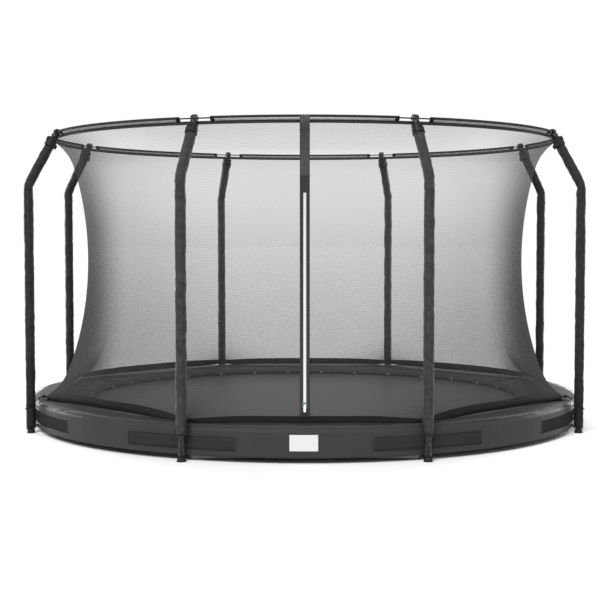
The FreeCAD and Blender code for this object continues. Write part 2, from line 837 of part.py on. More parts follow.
def onArc(reach, along, aside):
    """A placement rule beside the zip: a reach from the arc's centre, a step along the zip."""
    y = f"({reach}) * cos({zipTurn}) - ({along}) * sin({zipTurn}) - {arcRule}"
    z = f"({reach}) * sin({zipTurn}) + ({along}) * cos({zipTurn}) + {arcHeightRule}"
    return f"placement(vector({aside}; {y}; {z}); rotation(vector(1; 0; 0); {zipTurn}))"


def block(name, width, deep, long, reach, along, aside):
    obj = bound("Part::Box", name, Length=width, Width=deep, Height=long)
    obj.setExpression("Placement", onArc(reach, along, aside))
    return obj


def pinAt(name, width, length, reach):
    """A round bar across the zip at the slider's middle."""
    place = onArc(reach, "0", f"-({length}) / 2") + " * placement(vector(0; 0; 0); " + tangent + ")"
    return bound("Part::Cylinder", name, Radius=f"({width}) / 2", Height=length, Placement=place)


sliderFace = f"({trackFace}) - Sizes.sliderPlay - Sizes.sliderHigh"
wallDepth = "Sizes.sliderHigh + Sizes.sliderPlay + Sizes.trackThick - Sizes.slack"
pinReach = f"({sliderFace}) - 4"
half = "-Sizes.sliderLong / 2"
plate = block("slider_plate", "Sizes.sliderWide", "Sizes.sliderHigh", "Sizes.sliderLong",
              sliderFace, half, "-Sizes.sliderWide / 2")
members = [plate]
for side, aside in (("left", "-Sizes.sliderWide / 2"), ("right", "Sizes.sliderWide / 2 - Sizes.sliderWall")):
    members.append(block(f"slider_wall_{side}", "Sizes.sliderWall",
                         wallDepth, "Sizes.sliderLong", sliderFace, half, aside))
for side, aside in (("left", "-Sizes.pullWide / 2 - 3.5"), ("right", "Sizes.pullWide / 2 + 0.5")):
    members.append(block(f"slider_post_{side}", "3", "8", "7", f"({sliderFace}) - 7", "-3.5", aside))
members.append(pinAt("slider_pin", "Sizes.pinWidth", "Sizes.pullWide + 6", pinReach))
keep(fused("zip_slider", members), "zip_slider")

blade = block("pull_blade", "Sizes.pullWide", "Sizes.pullThick", "Sizes.pullLong",
              f"({pinReach}) - Sizes.pullThick / 2", "3.2 - Sizes.pullLong", "-Sizes.pullWide / 2")
eyeHole = pinAt("pull_hole", "Sizes.pinWidth + 2 * Sizes.pinPlay", "Sizes.pullWide + 4", pinReach)
barrel = pinAt("pull_barrel", "Sizes.pinWidth + 3.2", "Sizes.pullWide", pinReach)
keep(cut("zip_pull", fused("pull_body", [blade, barrel]), eyeHole), "zip_pull")

doc.recompute()
for obj in doc.Objects:
    if "Invalid" in obj.State or "Error" in obj.State:
        raise RuntimeError(f"{obj.Name} failed: {obj.State}")
for obj in nodes:
    shape = obj.Shape
    if shape.isNull() or not shape.isValid() or not shape.Solids:
        raise RuntimeError(f"{obj.Label} has no valid shape")
    for solid in shape.Solids:
        if solid.Volume <= 0:
            raise RuntimeError(f"{obj.Label} has a solid turned inside out")
for obj in nodes:
    obj.Shape.exportStep(f"parts/{obj.Label}.step")
print(len(nodes), "nodes written")
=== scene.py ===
import bpy, bmesh, json, math
from mathutils import Matrix, Vector, noise


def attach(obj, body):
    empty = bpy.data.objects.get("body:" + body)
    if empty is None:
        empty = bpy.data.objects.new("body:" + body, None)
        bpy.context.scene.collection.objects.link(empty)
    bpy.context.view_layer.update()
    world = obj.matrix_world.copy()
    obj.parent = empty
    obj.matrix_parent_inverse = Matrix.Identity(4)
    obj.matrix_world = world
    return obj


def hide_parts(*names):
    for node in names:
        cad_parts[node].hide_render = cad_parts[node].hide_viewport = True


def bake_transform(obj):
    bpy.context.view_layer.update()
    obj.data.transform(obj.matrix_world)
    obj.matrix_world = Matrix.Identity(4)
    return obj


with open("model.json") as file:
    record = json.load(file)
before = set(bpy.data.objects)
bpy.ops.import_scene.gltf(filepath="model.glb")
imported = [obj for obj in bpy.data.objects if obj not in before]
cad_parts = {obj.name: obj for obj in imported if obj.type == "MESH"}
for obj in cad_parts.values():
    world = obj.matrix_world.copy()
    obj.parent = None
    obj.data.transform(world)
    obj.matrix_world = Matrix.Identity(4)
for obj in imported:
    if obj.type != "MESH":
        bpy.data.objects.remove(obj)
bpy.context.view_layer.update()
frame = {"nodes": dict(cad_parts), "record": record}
print("frame loaded:", len(frame["nodes"]), "nodes")

# Shared places, in metres and degrees. Azimuths run from the front (-Y) towards +X.
ring = {
    "poleAngle": 21.43,
    "poleRadius": 2.040,
    "rodRadius": 1.841,
    "rodHeight": 2.078,
    "bendHeight": 1.714,
}
poleAzimuths = []
for quarter in range(4):
    for side in (-1, 1):
        poleAzimuths.append(90 * quarter + side * ring["poleAngle"])
panelSpans = list(zip(poleAzimuths, poleAzimuths[1:] + [poleAzimuths[0] + 360]))


# Small helpers
def polar(azimuth, radius, height):
    turn = math.radians(azimuth)
    return Vector((radius * math.sin(turn), -radius * math.cos(turn), height))


def beside(azimuth, aside, radius, height):
    turn = math.radians(azimuth)
    return polar(azimuth, radius, height) + Vector((math.cos(turn), math.sin(turn), 0)) * aside


def azimuthOf(co):
    return math.degrees(math.atan2(co.x, -co.y))


def panelShare(azimuth):
    # how far an azimuth lies from its panel's middle: 0 there, 1 at the posts
    azimuth = (azimuth + ring["poleAngle"]) % 360 - ring["poleAngle"]
    for low, high in panelSpans:
        if azimuth <= high:
            return abs(azimuth - (low + high) / 2) / ((high - low) / 2), (high - low) / 2
    return 1, ring["poleAngle"]


def chordScale(azimuth):
    # turns a circle through the posts into straight runs from post to post
    share, half = panelShare(azimuth)
    return math.cos(math.radians(half)) / math.cos(math.radians(half * share))


def setRadius(vert, radius):
    reach = math.hypot(vert.co.x, vert.co.y)
    vert.co.x *= radius / reach
    vert.co.y *= radius / reach


def ruffle(co, size, depth, seed=0):
    # an even, repeatable unevenness of cloth
    return noise.noise(co / size + Vector((seed * 7.3, seed * 3.1, seed * 5.7))) * depth


def meshFrom(bm, name):
    mesh = bpy.data.meshes.new(name)
    bm.to_mesh(mesh)
    bm.free()
    return mesh


def addObject(name, data):
    added = bpy.data.objects.new(name, data)
    bpy.context.scene.collection.objects.link(added)
    return added


def finishPiece(bm, name, slot, replaces=(), body="frame", finish=None, smooth=True):
    # a piece takes the finish named like its slot, or another one
    bmesh.ops.recalc_face_normals(bm, faces=bm.faces[:])
    mesh = meshFrom(bm, name)
    for polygon in mesh.polygons:
        polygon.use_smooth = smooth
    mesh.materials.append(finishes[finish or slot])
    piece = addObject(name, mesh)
    if body:
        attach(piece, body)
    if replaces:
        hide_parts(*replaces)
    return piece


def addThickness(piece, thickness):
    wall = piece.modifiers.new("wall", "SOLIDIFY")
    wall.thickness = thickness
    wall.offset = 0
    wall.use_even_offset = True


def circleProfile(radius, height, size, sides):
    # a round section as a profile
    turns = [math.tau * i / sides for i in range(sides)]
    return [(radius + size * math.cos(turn), height + size * math.sin(turn)) for turn in turns]


def spinProfile(bm, profile, start, end, steps, closed=True):
    # a profile of (radius, height) carried round the middle of the object
    verts = [bm.verts.new(polar(start, radius, height)) for radius, height in profile]
    edges = [bm.edges.new(pair) for pair in zip(verts, verts[1:])]
    if closed:
        edges.append(bm.edges.new((verts[-1], verts[0])))
    full = abs(end - start) >= 360
    spun = bmesh.ops.spin(bm, geom=verts + edges, cent=(0, 0, 0), axis=(0, 0, 1),
                          angle=math.radians(end - start), steps=steps, use_merge=full)
    if closed and not full:
        bmesh.ops.contextual_create(bm, geom=edges)
        bmesh.ops.contextual_create(bm, geom=[e for e in spun["geom_last"]
                                              if isinstance(e, bmesh.types.BMEdge)])


def grownFrom(bm, edges):
    # the next row of points and edges beyond a row of edges
    grown = bmesh.ops.extrude_edge_only(bm, edges=edges)["geom"]
    verts = [g for g in grown if isinstance(g, bmesh.types.BMVert)]
    return verts, [g for g in grown if isinstance(g, bmesh.types.BMEdge)
                   and g.verts[0] in verts and g.verts[1] in verts]


def sweepTube(bm, path, width, segments):
    # a round section carried along a path of points
    made = bmesh.ops.create_circle(bm, segments=segments, radius=width / 2)["verts"]
    heading = (path[1] - path[0]).normalized()
    turn = Vector((0, 0, 1)).rotation_difference(heading).to_matrix()
    bmesh.ops.rotate(bm, verts=made, cent=(0, 0, 0), matrix=turn)
    bmesh.ops.translate(bm, verts=made, vec=path[0])
    edges = [e for e in bm.edges if e.verts[0] in made and e.verts[1] in made]
    first = edges
    for i in range(1, len(path)):
        made, edges = grownFrom(bm, edges)
        edges = [e for e in edges if len(e.link_faces) == 1]
        bmesh.ops.translate(bm, verts=made, vec=path[i] - path[i - 1])
        ahead = (path[min(i + 1, len(path) - 1)] - path[i - 1]).normalized()
        spun = heading.rotation_difference(ahead).to_matrix()
        bmesh.ops.rotate(bm, verts=made, cent=path[i], matrix=spun)
        heading = ahead
    bmesh.ops.contextual_create(bm, geom=first)
    bmesh.ops.contextual_create(bm, geom=edges)


def latheAt(bm, centre, axis, profile, steps=24, closed=True):
    # a profile of (along, radius) turned round an axis through a centre
    side = axis.orthogonal().normalized()
    verts = [bm.verts.new(centre + axis * along + side * radius) for along, radius in profile]
    edges = [bm.edges.new(pair) for pair in zip(verts, verts[1:])]
    if closed:
        edges.append(bm.edges.new((verts[-1], verts[0])))
    bmesh.ops.spin(bm, geom=verts + edges, cent=centre, axis=axis, angle=math.tau, steps=steps,
                   use_merge=True)
    if not closed:
        bmesh.ops.remove_doubles(bm, verts=bm.verts[:], dist=1e-6)


def roundStep(value, start, end):
    share = min(1.0, max(0.0, (value - start) / (end - start)))
    return share * share * (3 - 2 * share)


# Materials
def mathNode(tree, operation, a, b=None, clamp=False):
    node = tree.nodes.new("ShaderNodeMath")
    node.operation = operation
    node.use_clamp = clamp
    for socket, value in zip(node.inputs, (a, b)):
        if isinstance(value, (int, float)):
            socket.default_value = value
        elif value is not None:
            tree.links.new(value, socket)
    return node.outputs[0]


def times(tree, *factors):
    result = factors[0]
    for factor in factors[1:]:
        result = mathNode(tree, "MULTIPLY", result, factor)
    return result


def plus(tree, *terms):
    result = terms[0]
    for term in terms[1:]:
        result = mathNode(tree, "ADD", result, term)
    return result


def splitNode(tree, vector):
    split = tree.nodes.new("ShaderNodeSeparateXYZ")
    tree.links.new(vector, split.inputs[0])
    return split.outputs


def shaderGroup(name, inputs, outputs):
    # a node group whose first input is a place, and its inner sockets
    group = bpy.data.node_groups.new(name, "ShaderNodeTree")
    for key, value in (("Vector", None), *inputs.items()):
        kind = "NodeSocketVector" if value is None else "NodeSocketFloat"
        socket = group.interface.new_socket(name=key, in_out="INPUT", socket_type=kind)
        if value is not None:
            socket.default_value = value
    for key in outputs:
        kind = "NodeSocketVector" if key == "Vector" else "NodeSocketFloat"
        group.interface.new_socket(name=key, in_out="OUTPUT", socket_type=kind)
    return group, group.nodes.new("NodeGroupInput").outputs, group.nodes.new("NodeGroupOutput").inputs


# Object coordinates unrolled round the vertical axis: around and up.
wrapGroup, given, made = shaderGroup("unroll", {"Radius": 1.8}, ["Vector"])
axes = splitNode(wrapGroup, given["Vector"])
turned = mathNode(wrapGroup, "ARCTAN2", axes["X"], times(wrapGroup, axes["Y"], -1))
unrolled = wrapGroup.nodes.new("ShaderNodeCombineXYZ")
wrapGroup.links.new(times(wrapGroup, turned, given["Radius"]), unrolled.inputs["X"])
wrapGroup.links.new(axes["Z"], unrolled.inputs["Y"])
wrapGroup.links.new(unrolled.outputs[0], made["Vector"])

# Two crossed sets of threads, as a tone and a height.
weaveGroup, given, made = shaderGroup("threads", {"Pitch": 0.004, "Thread": 0.3}, ["Mask", "Height"])
axes = splitNode(weaveGroup, given["Vector"])
masks = []
heights = []
for axis in ("X", "Y"):
    cell = mathNode(weaveGroup, "DIVIDE", axes[axis], given["Pitch"])
    near = mathNode(weaveGroup, "DIVIDE", mathNode(weaveGroup, "PINGPONG", cell, 0.5), given["Thread"])
    masks.append(mathNode(weaveGroup, "SUBTRACT", 1.5, near, clamp=True))
    heights.append(mathNode(weaveGroup, "SUBTRACT", 1.0, near, clamp=True))
weaveGroup.links.new(mathNode(weaveGroup, "MAXIMUM", *masks), made["Mask"])
weaveGroup.links.new(plus(weaveGroup, *heights), made["Height"])

# Knitted courses: fine slanting lines that bend a little, as a tone.
courseBow = {"waves": 2.3, "depth": 0.11}
courseGroup, given, made = shaderGroup("courses", {"Pitch": 0.014}, ["Tone"])
axes = splitNode(courseGroup, given["Vector"])
bow = mathNode(courseGroup, "SINE", times(courseGroup, axes["X"], courseBow["waves"]))
climb = plus(courseGroup, axes["Y"], times(courseGroup, bow, courseBow["depth"]))
course = mathNode(courseGroup, "PINGPONG", mathNode(courseGroup, "DIVIDE", climb, given["Pitch"]), 0.5)
courseGroup.links.new(times(courseGroup, course, 2.0), made["Tone"])

# Creases of slack cloth: a noise drawn out along one axis, as a height.
creaseGroup, given, made = shaderGroup("creases", {"Across": 0.03, "Along": 0.12}, ["Height"])
axes = splitNode(creaseGroup, given["Vector"])
drawn = creaseGroup.nodes.new("ShaderNodeCombineXYZ")
for axis, reach in (("X", "Across"), ("Y", "Along"), ("Z", "Across")):
    creaseGroup.links.new(mathNode(creaseGroup, "DIVIDE", axes[axis], given[reach]), drawn.inputs[axis])
folds = creaseGroup.nodes.new("ShaderNodeTexNoise")
for key, value in (("Scale", 1), ("Detail", 4), ("Distortion", 0.6)):
    folds.inputs[key].default_value = value
creaseGroup.links.new(drawn.outputs[0], folds.inputs["Vector"])
creaseGroup.links.new(folds.outputs["Fac"], made["Height"])

# Uneven tone of worn, dusty or folded material, around 1.
mottleGroup, given, made = shaderGroup("mottle", {"Size": 0.2, "Amount": 0.15}, ["Tone"])
cloud = mottleGroup.nodes.new("ShaderNodeTexNoise")
cloud.inputs["Detail"].default_value = 5
mottleGroup.links.new(given["Vector"], cloud.inputs["Vector"])
mottleGroup.links.new(mathNode(mottleGroup, "DIVIDE", 1.0, given["Size"]), cloud.inputs["Scale"])
centred = mathNode(mottleGroup, "SUBTRACT", cloud.outputs["Fac"], 0.5)
swing = times(mottleGroup, centred, given["Amount"], 2.0)
mottleGroup.links.new(plus(mottleGroup, swing, 1.0), made["Tone"])


def greyColour(value):
    # a display grey of 0 to 255 as a linear colour
    part = value / 255
    return (part / 12.92 if part <= 0.04045 else ((part + 0.055) / 1.055) ** 2.4,) * 3


def startMaterial(name, roughness, gloss, metallic=0.0):
    material = bpy.data.materials.new(name)
    material.use_nodes = True
    tree = material.node_tree
    tree.nodes.clear()
    shader = tree.nodes.new("ShaderNodeBsdfPrincipled")
    output = tree.nodes.new("ShaderNodeOutputMaterial")
    tree.links.new(shader.outputs[0], output.inputs["Surface"])
    shader.inputs["Roughness"].default_value = roughness
    shader.inputs["Metallic"].default_value = metallic
    shader.inputs["Specular IOR Level"].default_value = gloss
    coords = tree.nodes.new("ShaderNodeTexCoord")
    return material, tree, shader, coords.outputs["Object"]


def addGroup(tree, group, vector, **values):
    node = tree.nodes.new("ShaderNodeGroup")
    node.node_tree = group
    tree.links.new(vector, node.inputs["Vector"])
    for key, value in values.items():
        node.inputs[key].default_value = value
    return node.outputs


def tintBy(tree, shader, colour, tone):
    # the base colour times a tone that varies over the surface
    mix = tree.nodes.new("ShaderNodeVectorMath")
    mix.operation = "SCALE"
    mix.inputs[0].default_value = colour
    tree.links.new(tone, mix.inputs["Scale"])
    tree.links.new(mix.outputs[0], shader.inputs["Base Color"])


def addBump(tree, shader, height, strength, distance):
    bump = tree.nodes.new("ShaderNodeBump")
    bump.inputs["Strength"].default_value = strength
    bump.inputs["Distance"].default_value = distance
    tree.links.new(height, bump.inputs["Height"])
    tree.links.new(bump.outputs[0], shader.inputs["Normal"])


def rampNode(tree, value, *span):
    # a smooth step: from one input to another, with the value at each end
    ramp = tree.nodes.new("ShaderNodeMapRange")
    ramp.interpolation_type = "SMOOTHSTEP"
    for key, number in zip(("From Min", "From Max", "To Min", "To Max"), span):
        ramp.inputs[key].default_value = number
    tree.links.new(value, ramp.inputs["Value"])
    return ramp.outputs["Result"]


def placeRamp(tree, place, along, *span):
    # such a step along one axis or with the distance from the middle
    if along != "radius":
        return rampNode(tree, splitNode(tree, place)[along], *span)
    reach = tree.nodes.new("ShaderNodeVectorMath")
    reach.operation = "LENGTH"
    tree.links.new(place, reach.inputs[0])
    return rampNode(tree, reach.outputs["Value"], *span)


def clothMaterial(name, grey, roughness=0.75, pitch=0.003, depth=0.0006, mottle=0.12, size=0.25, sheen=0.03,
                  radius=None, threadTone=0.25, crease=0.0, across=0.03, along=0.12, gloss=0.2, fade=None,
                  rimHighlight=None):
    material, tree, shader, place = startMaterial(name, roughness, gloss)
    flat = addGroup(tree, wrapGroup, place, Radius=radius)["Vector"] if radius else place
    threads = addGroup(tree, weaveGroup, flat, Pitch=pitch, Thread=0.34)["Height"]
    clouds = addGroup(tree, mottleGroup, place, Size=size, Amount=mottle)["Tone"]
    tone = times(tree, plus(tree, times(tree, threads, threadTone), 1 - threadTone * 0.7), clouds)
    # a tone ramp along one axis or with the distance from the middle: painted light and shade
    if fade:
        tone = times(tree, tone, placeRamp(tree, place, *fade))
    if rimHighlight:
        # painted highlight along the outer edge, in specks, where the cover is also smoother
        specks = addGroup(tree, mottleGroup, place, Size=rimHighlight["specks"], Amount=1.6)["Tone"]
        edge = placeRamp(tree, place, "radius", *rimHighlight["edge"], 0, 1)
        highlightShare = mathNode(tree, "MULTIPLY", edge, specks, clamp=True)
        tone = times(tree, tone, plus(tree, times(tree, highlightShare, rimHighlight["paintedHighlight"]), 1.0))
        smoothed = plus(tree, times(tree, highlightShare, -rimHighlight["smoother"]), roughness)
        tree.links.new(smoothed, shader.inputs["Roughness"])
    tintBy(tree, shader, greyColour(grey), tone)
    shader.inputs["Sheen Weight"].default_value = sheen
    shader.inputs["Sheen Roughness"].default_value = 0.5
    height = times(tree, threads, depth)
    if crease:
        folds = addGroup(tree, creaseGroup, flat, Across=across, Along=along)["Height"]
        height = plus(tree, height, times(tree, folds, crease))
    addBump(tree, shader, height, 0.6, 1.0)
    return material


def hardMaterial(name, colour, roughness, metallic=0.0, gloss=0.5):
    material, tree, shader, place = startMaterial(name, roughness, gloss, metallic)
    clouds = addGroup(tree, mottleGroup, place, Size=0.08, Amount=0.1)["Tone"]
    grain = addGroup(tree, mottleGroup, place, Size=0.02, Amount=0.5)["Tone"]
    tintBy(tree, shader, colour, clouds)
    tree.links.new(mathNode(tree, "MULTIPLY", grain, roughness, clamp=True), shader.inputs["Roughness"])
    addBump(tree, shader, grain, 0.3, 0.0002)
    return material


sleeveWeave = {"pitch": 0.0035, "radius": 2.04, "crease": 0.02, "across": 0.04, "along": 0.06,
               "mottle": 0.9, "size": 0.03}
webbing = {"pitch": 0.004, "radius": 1.8, "gloss": 0.1}
# painted highlight along the pad's outer rim, in specks, with a smoother surface there
padRimHighlight = {"edge": (1.955, 1.982), "specks": 0.018, "paintedHighlight": 0.9, "smoother": 0.25}
finishes = {
    "galvanised_tube": hardMaterial("tubeGrey", greyColour(95), 0.4, 0.6),
    "black_tube": hardMaterial("tubeBlack", greyColour(42), 0.42),
    # painted light and shade: the sleeve cloth is darker on the front posts and lighter on the back posts
    "foam_sleeve": clothMaterial("sleeveCloth", 50, 0.6, gloss=0.2, fade=("Y", -1.0, 1.0, 0.92, 1.22),
                                 **sleeveWeave),
    # painted shade: a darker copy of the sleeve cloth for the side posts, deeper towards the foot
    "side_sleeve": clothMaterial("sleeveClothShaded", 36, 0.6, gloss=0.15, fade=("Z", 0.15, 0.8, 0.55, 1.0),
                                 **sleeveWeave),
    "black_plastic": hardMaterial("plasticBlack", greyColour(24), 0.55, gloss=0.2),
    "grey_plastic": hardMaterial("plasticGrey", greyColour(30), 0.35, gloss=0.3),
    "zinc_bolt": hardMaterial("boltZinc", greyColour(75), 0.45, 0.8),
    "dark_rod": hardMaterial("rodDark", greyColour(30), 0.55, gloss=0.15),
    "spring_wire": hardMaterial("wireZinc", greyColour(165), 0.35, 0.9),
    "pad_cover": clothMaterial("padCloth", 50, 0.45, pitch=0.0025, radius=1.8, gloss=0.09, sheen=0.0,
                               crease=0.02, across=0.14, along=0.07, threadTone=0.06, mottle=0.2,
                               depth=0.0002, rimHighlight=padRimHighlight),
    "pad_piping": clothMaterial("pipingCloth", 54, 0.42, pitch=0.004, radius=1.98, mottle=0.3, size=0.03),
    "white_elastic": clothMaterial("elasticWhite", 225, 0.8, pitch=0.0015),
    "skirt_cloth": clothMaterial("skirtCloth", 54, 0.5, pitch=0.0025, radius=1.99, gloss=0.1, crease=0.008,
                                 across=0.12, along=0.3, threadTone=0.06, depth=0.0002),
    "white_label": clothMaterial("labelWhite", 222, 0.6, pitch=0.001, mottle=0.03, radius=1.99),
    "net_webbing": clothMaterial("webbingBlack", 27, 0.85, sheen=0.0, **webbing),
    "top_webbing": clothMaterial("webbingTop", 57, 0.85, sheen=0.0, **webbing),
    # painted light: the strip is nearly twice as light above its lower seam
    "strip_webbing": clothMaterial("webbingGrey", 54, 0.8, mottle=0.2, size=0.02,
                                   fade=("Z", 1.728, 1.738, 1.0, 1.95), **webbing),
    "black_cord": clothMaterial("cordBlack", 22, 0.8, pitch=0.0015, gloss=0.1),
    "white_zip": clothMaterial("zipWhite", 212, 0.45, pitch=0.006, mottle=0.03, threadTone=0.3, radius=1.8),
    "zip_metal": hardMaterial("zipMetal", greyColour(200), 0.3, 0.6),
    # painted shade: the mat darkens towards its rim, under the pad and the net
    "mat_cloth": clothMaterial("matCloth", 50, 0.42, pitch=0.004, mottle=0.08, size=0.8, threadTone=0.05,
                               gloss=0.1, depth=0.0001, fade=("radius", 0.7, 1.7, 1.0, 0.55)),
    "mat_band": clothMaterial("matBand", 36, 0.75, pitch=0.004, gloss=0.1),
    "slider_enamel": hardMaterial("sliderEnamel", (0.012, 0.05, 0.022), 0.35, 0.2),
}

# How much closer the net's knit stands, as ramps: from, to, and the value at each.
knit = {
    "height": (0.2, 1.7, 1.50, 0.8),
    "crown": (1.25, 1.85, 0.0, -0.18),
    "entryDepth": (-1.75, -1.2, 1, 0),
    "entryTop": (1.84, 1.92, 0, 0.63),
    "beside": (0.45, 0.9, 0, 0.13),
    "flanks": (1.0, 1.45, 0, -0.25),
    "flankHeight": (1.2, 1.6, 1, 0),
    "overlap": 0.25,  # no ramp: how much close threads hide one another
}


def gatheredCover(tree, place, cover):
    # denser low down, away from the entry, along the top of the entry side and at the ties
    entry = times(tree, placeRamp(tree, place, "Y", *knit["entryDepth"]),
                  placeRamp(tree, place, "Z", *knit["entryTop"]))
    packed = plus(tree, placeRamp(tree, place, "Z", *knit["height"]),
                  placeRamp(tree, place, "Z", *knit["crown"]), entry)
    apart = mathNode(tree, "ABSOLUTE", splitNode(tree, place)["X"])
    aside = plus(tree, rampNode(tree, apart, *knit["beside"]), rampNode(tree, apart, *knit["flanks"]))
    aside = times(tree, aside, placeRamp(tree, place, "Z", *knit["flankHeight"]))
    ties = tree.nodes.new("ShaderNodeAttribute")
    ties.attribute_name = "gather"
    cover = plus(tree, times(tree, cover, times(tree, packed, plus(tree, aside, 1.0))), ties.outputs["Fac"])
    return times(tree, cover, mathNode(tree, "SUBTRACT", 1.0, times(tree, cover, knit["overlap"])))


def meshMaterial(name, grey, radius, front, edge, pitch=0.004, course=0.017, ripple=0.22, gathered=False,
                 slants=((0.1, 0.5, 0.14), (0.41, 0.84, 0.86))):
    # an open knit: the share that its threads cover grows from front view to edge view
    material, tree, shader, place = startMaterial(name, 0.8, 0)
    flat = addGroup(tree, wrapGroup, place, Radius=radius)["Vector"]
    threads = addGroup(tree, weaveGroup, flat, Pitch=pitch, Thread=0.2)["Mask"]
    courses = addGroup(tree, courseGroup, flat, Pitch=course)["Tone"]
    clouds = addGroup(tree, mottleGroup, place, Size=0.6, Amount=0.06)["Tone"]
    grain = addGroup(tree, mottleGroup, place, Size=0.011, Amount=0.22)["Tone"]
    tintBy(tree, shader, greyColour(grey), clouds)
    slant = tree.nodes.new("ShaderNodeLayerWeight")
    slant.inputs["Blend"].default_value = 0.5
    cover = front
    for low, high, share in slants:
        closing = rampNode(tree, slant.outputs["Facing"], low, high, 0, (edge - front) * share)
        cover = plus(tree, closing, cover)
    strands = plus(tree, times(tree, threads, 0.5), 0.76)
    lines = plus(tree, times(tree, courses, ripple), 1.0 - ripple / 2)
    cover = times(tree, cover, strands, lines, grain, clouds)
    if gathered:
        cover = gatheredCover(tree, place, cover)
    tree.links.new(mathNode(tree, "MULTIPLY", cover, 1.0, clamp=True), shader.inputs["Alpha"])
    return material


finishes["net_mesh"] = meshMaterial("netKnit", 64, 1.7, 0.27, 1.16, gathered=True)
finishes["sheer_cloth"] = meshMaterial("sleeveSheer", 60, 1.84, 0.14, 0.5, pitch=0.002,
                                       slants=((0.02, 0.3, 1.0),))
finishes["window_mesh"] = meshMaterial("windowKnit", 51, 1.98, 0.9, 0.97, pitch=0.003, course=0.008,
                                       ripple=0.12)

# The hard CAD nodes stay as they are, with their own finish.
nodeFinishes = {"zip_slider": "slider_enamel"}
slotOf = {row["node"]: row["material_slot"] for row in frame["record"]["subparts"]}
for name, node in frame["nodes"].items():
    node.data.materials.clear()
    node.data.materials.append(finishes[nodeFinishes.get(name, slotOf[name])])
print("materials made:", len(finishes))

# Mat
mat = {"radius": 1.7444, "core": 0.02, "level": 0.170, "thick": 0.002, "rings": 14, "band": 0.040,
       "bandEdge": 0.001, "bandLow": 0.1725, "bandHigh": 0.1740}
bm = bmesh.new()
reaches = [mat["core"] + (mat["radius"] - mat["core"]) * i / mat["rings"] for i in range(mat["rings"] + 1)]
spinProfile(bm, [(reach, mat["level"]) for reach in reaches], 0, 360, 96, closed=False)
core = [e for e in bm.edges if e.is_boundary and e.verts[0].co.xy.length < 2 * mat["core"]]
bmesh.ops.contextual_create(bm, geom=core)
matSheet = finishPiece(bm, "matSheet", "mat_cloth", ["mat"], "mat")
addThickness(matSheet, mat["thick"])

bm = bmesh.new()
inside = mat["radius"] - mat["band"]
outside = mat["radius"] - mat["bandEdge"]
spinProfile(bm, [(inside, mat["bandLow"]), (outside, mat["bandLow"]), (outside, mat["bandHigh"]),
                 (inside, mat["bandHigh"])], 0, 360, 192)
matBand = finishPiece(bm, "matBand", "mat_band", ["mat_webbing"], "mat")
print("mat made")

# Pad
pad = {
    "steps": 64, "gap": 0.02,
    "profile": [
        (1.567, 0.183), (1.572, 0.1775), (1.600, 0.176), (1.680, 0.179), (1.752, 0.184), (1.850, 0.184),
        (1.928, 0.184), (1.9365, 0.1945), (1.978, 0.1945), (1.9865, 0.198), (1.9880, 0.209),
        (1.9865, 0.2150), (1.979, 0.2188), (1.960, 0.2205), (1.935, 0.2215), (1.905, 0.2220),
        (1.870, 0.2222), (1.835, 0.2216), (1.800, 0.2205), (1.765, 0.2192), (1.730, 0.2172),
        (1.695, 0.2148), (1.660, 0.2120), (1.628, 0.2085), (1.600, 0.2045), (1.581, 0.2000),
        (1.570, 0.1940)],
    "topSpan": (0.190, 0.206), "seamDip": 0.008, "seamWidth": 0.5, "pucker": 0.0022, "puckers": 105,
    "puckerWidth": 2.2, "middle": 1.8, "uneven": 0.0042, "unevenAround": 0.30, "unevenAcross": 0.075,
    "crumple": 0.0016, "crumpleSize": 0.06,
    "loops": 8, "loopPull": 0.005, "loopDrop": 0.003, "edgeRuffle": 0.002, "edgeEnd": 1.64,
    "piping": (1.9868, 0.2178, 0.0026), "pipingGap": 0.05,
}
# The cover swells over its foam: two cushions are blown up as cloth, then set round the ring.
swell = {"start": 0.005, "topSpan": (0.200, 0.214), "voxel": 0.010, "frames": 20, "pressure": 4.0,
         "cap": 0.007, "slack": -0.035, "stiff": 12.0, "bend": 0.25, "inner": 1.572, "outer": 1.984,
         "low": 0.192, "edge": 0.006, "degree": 0.031}


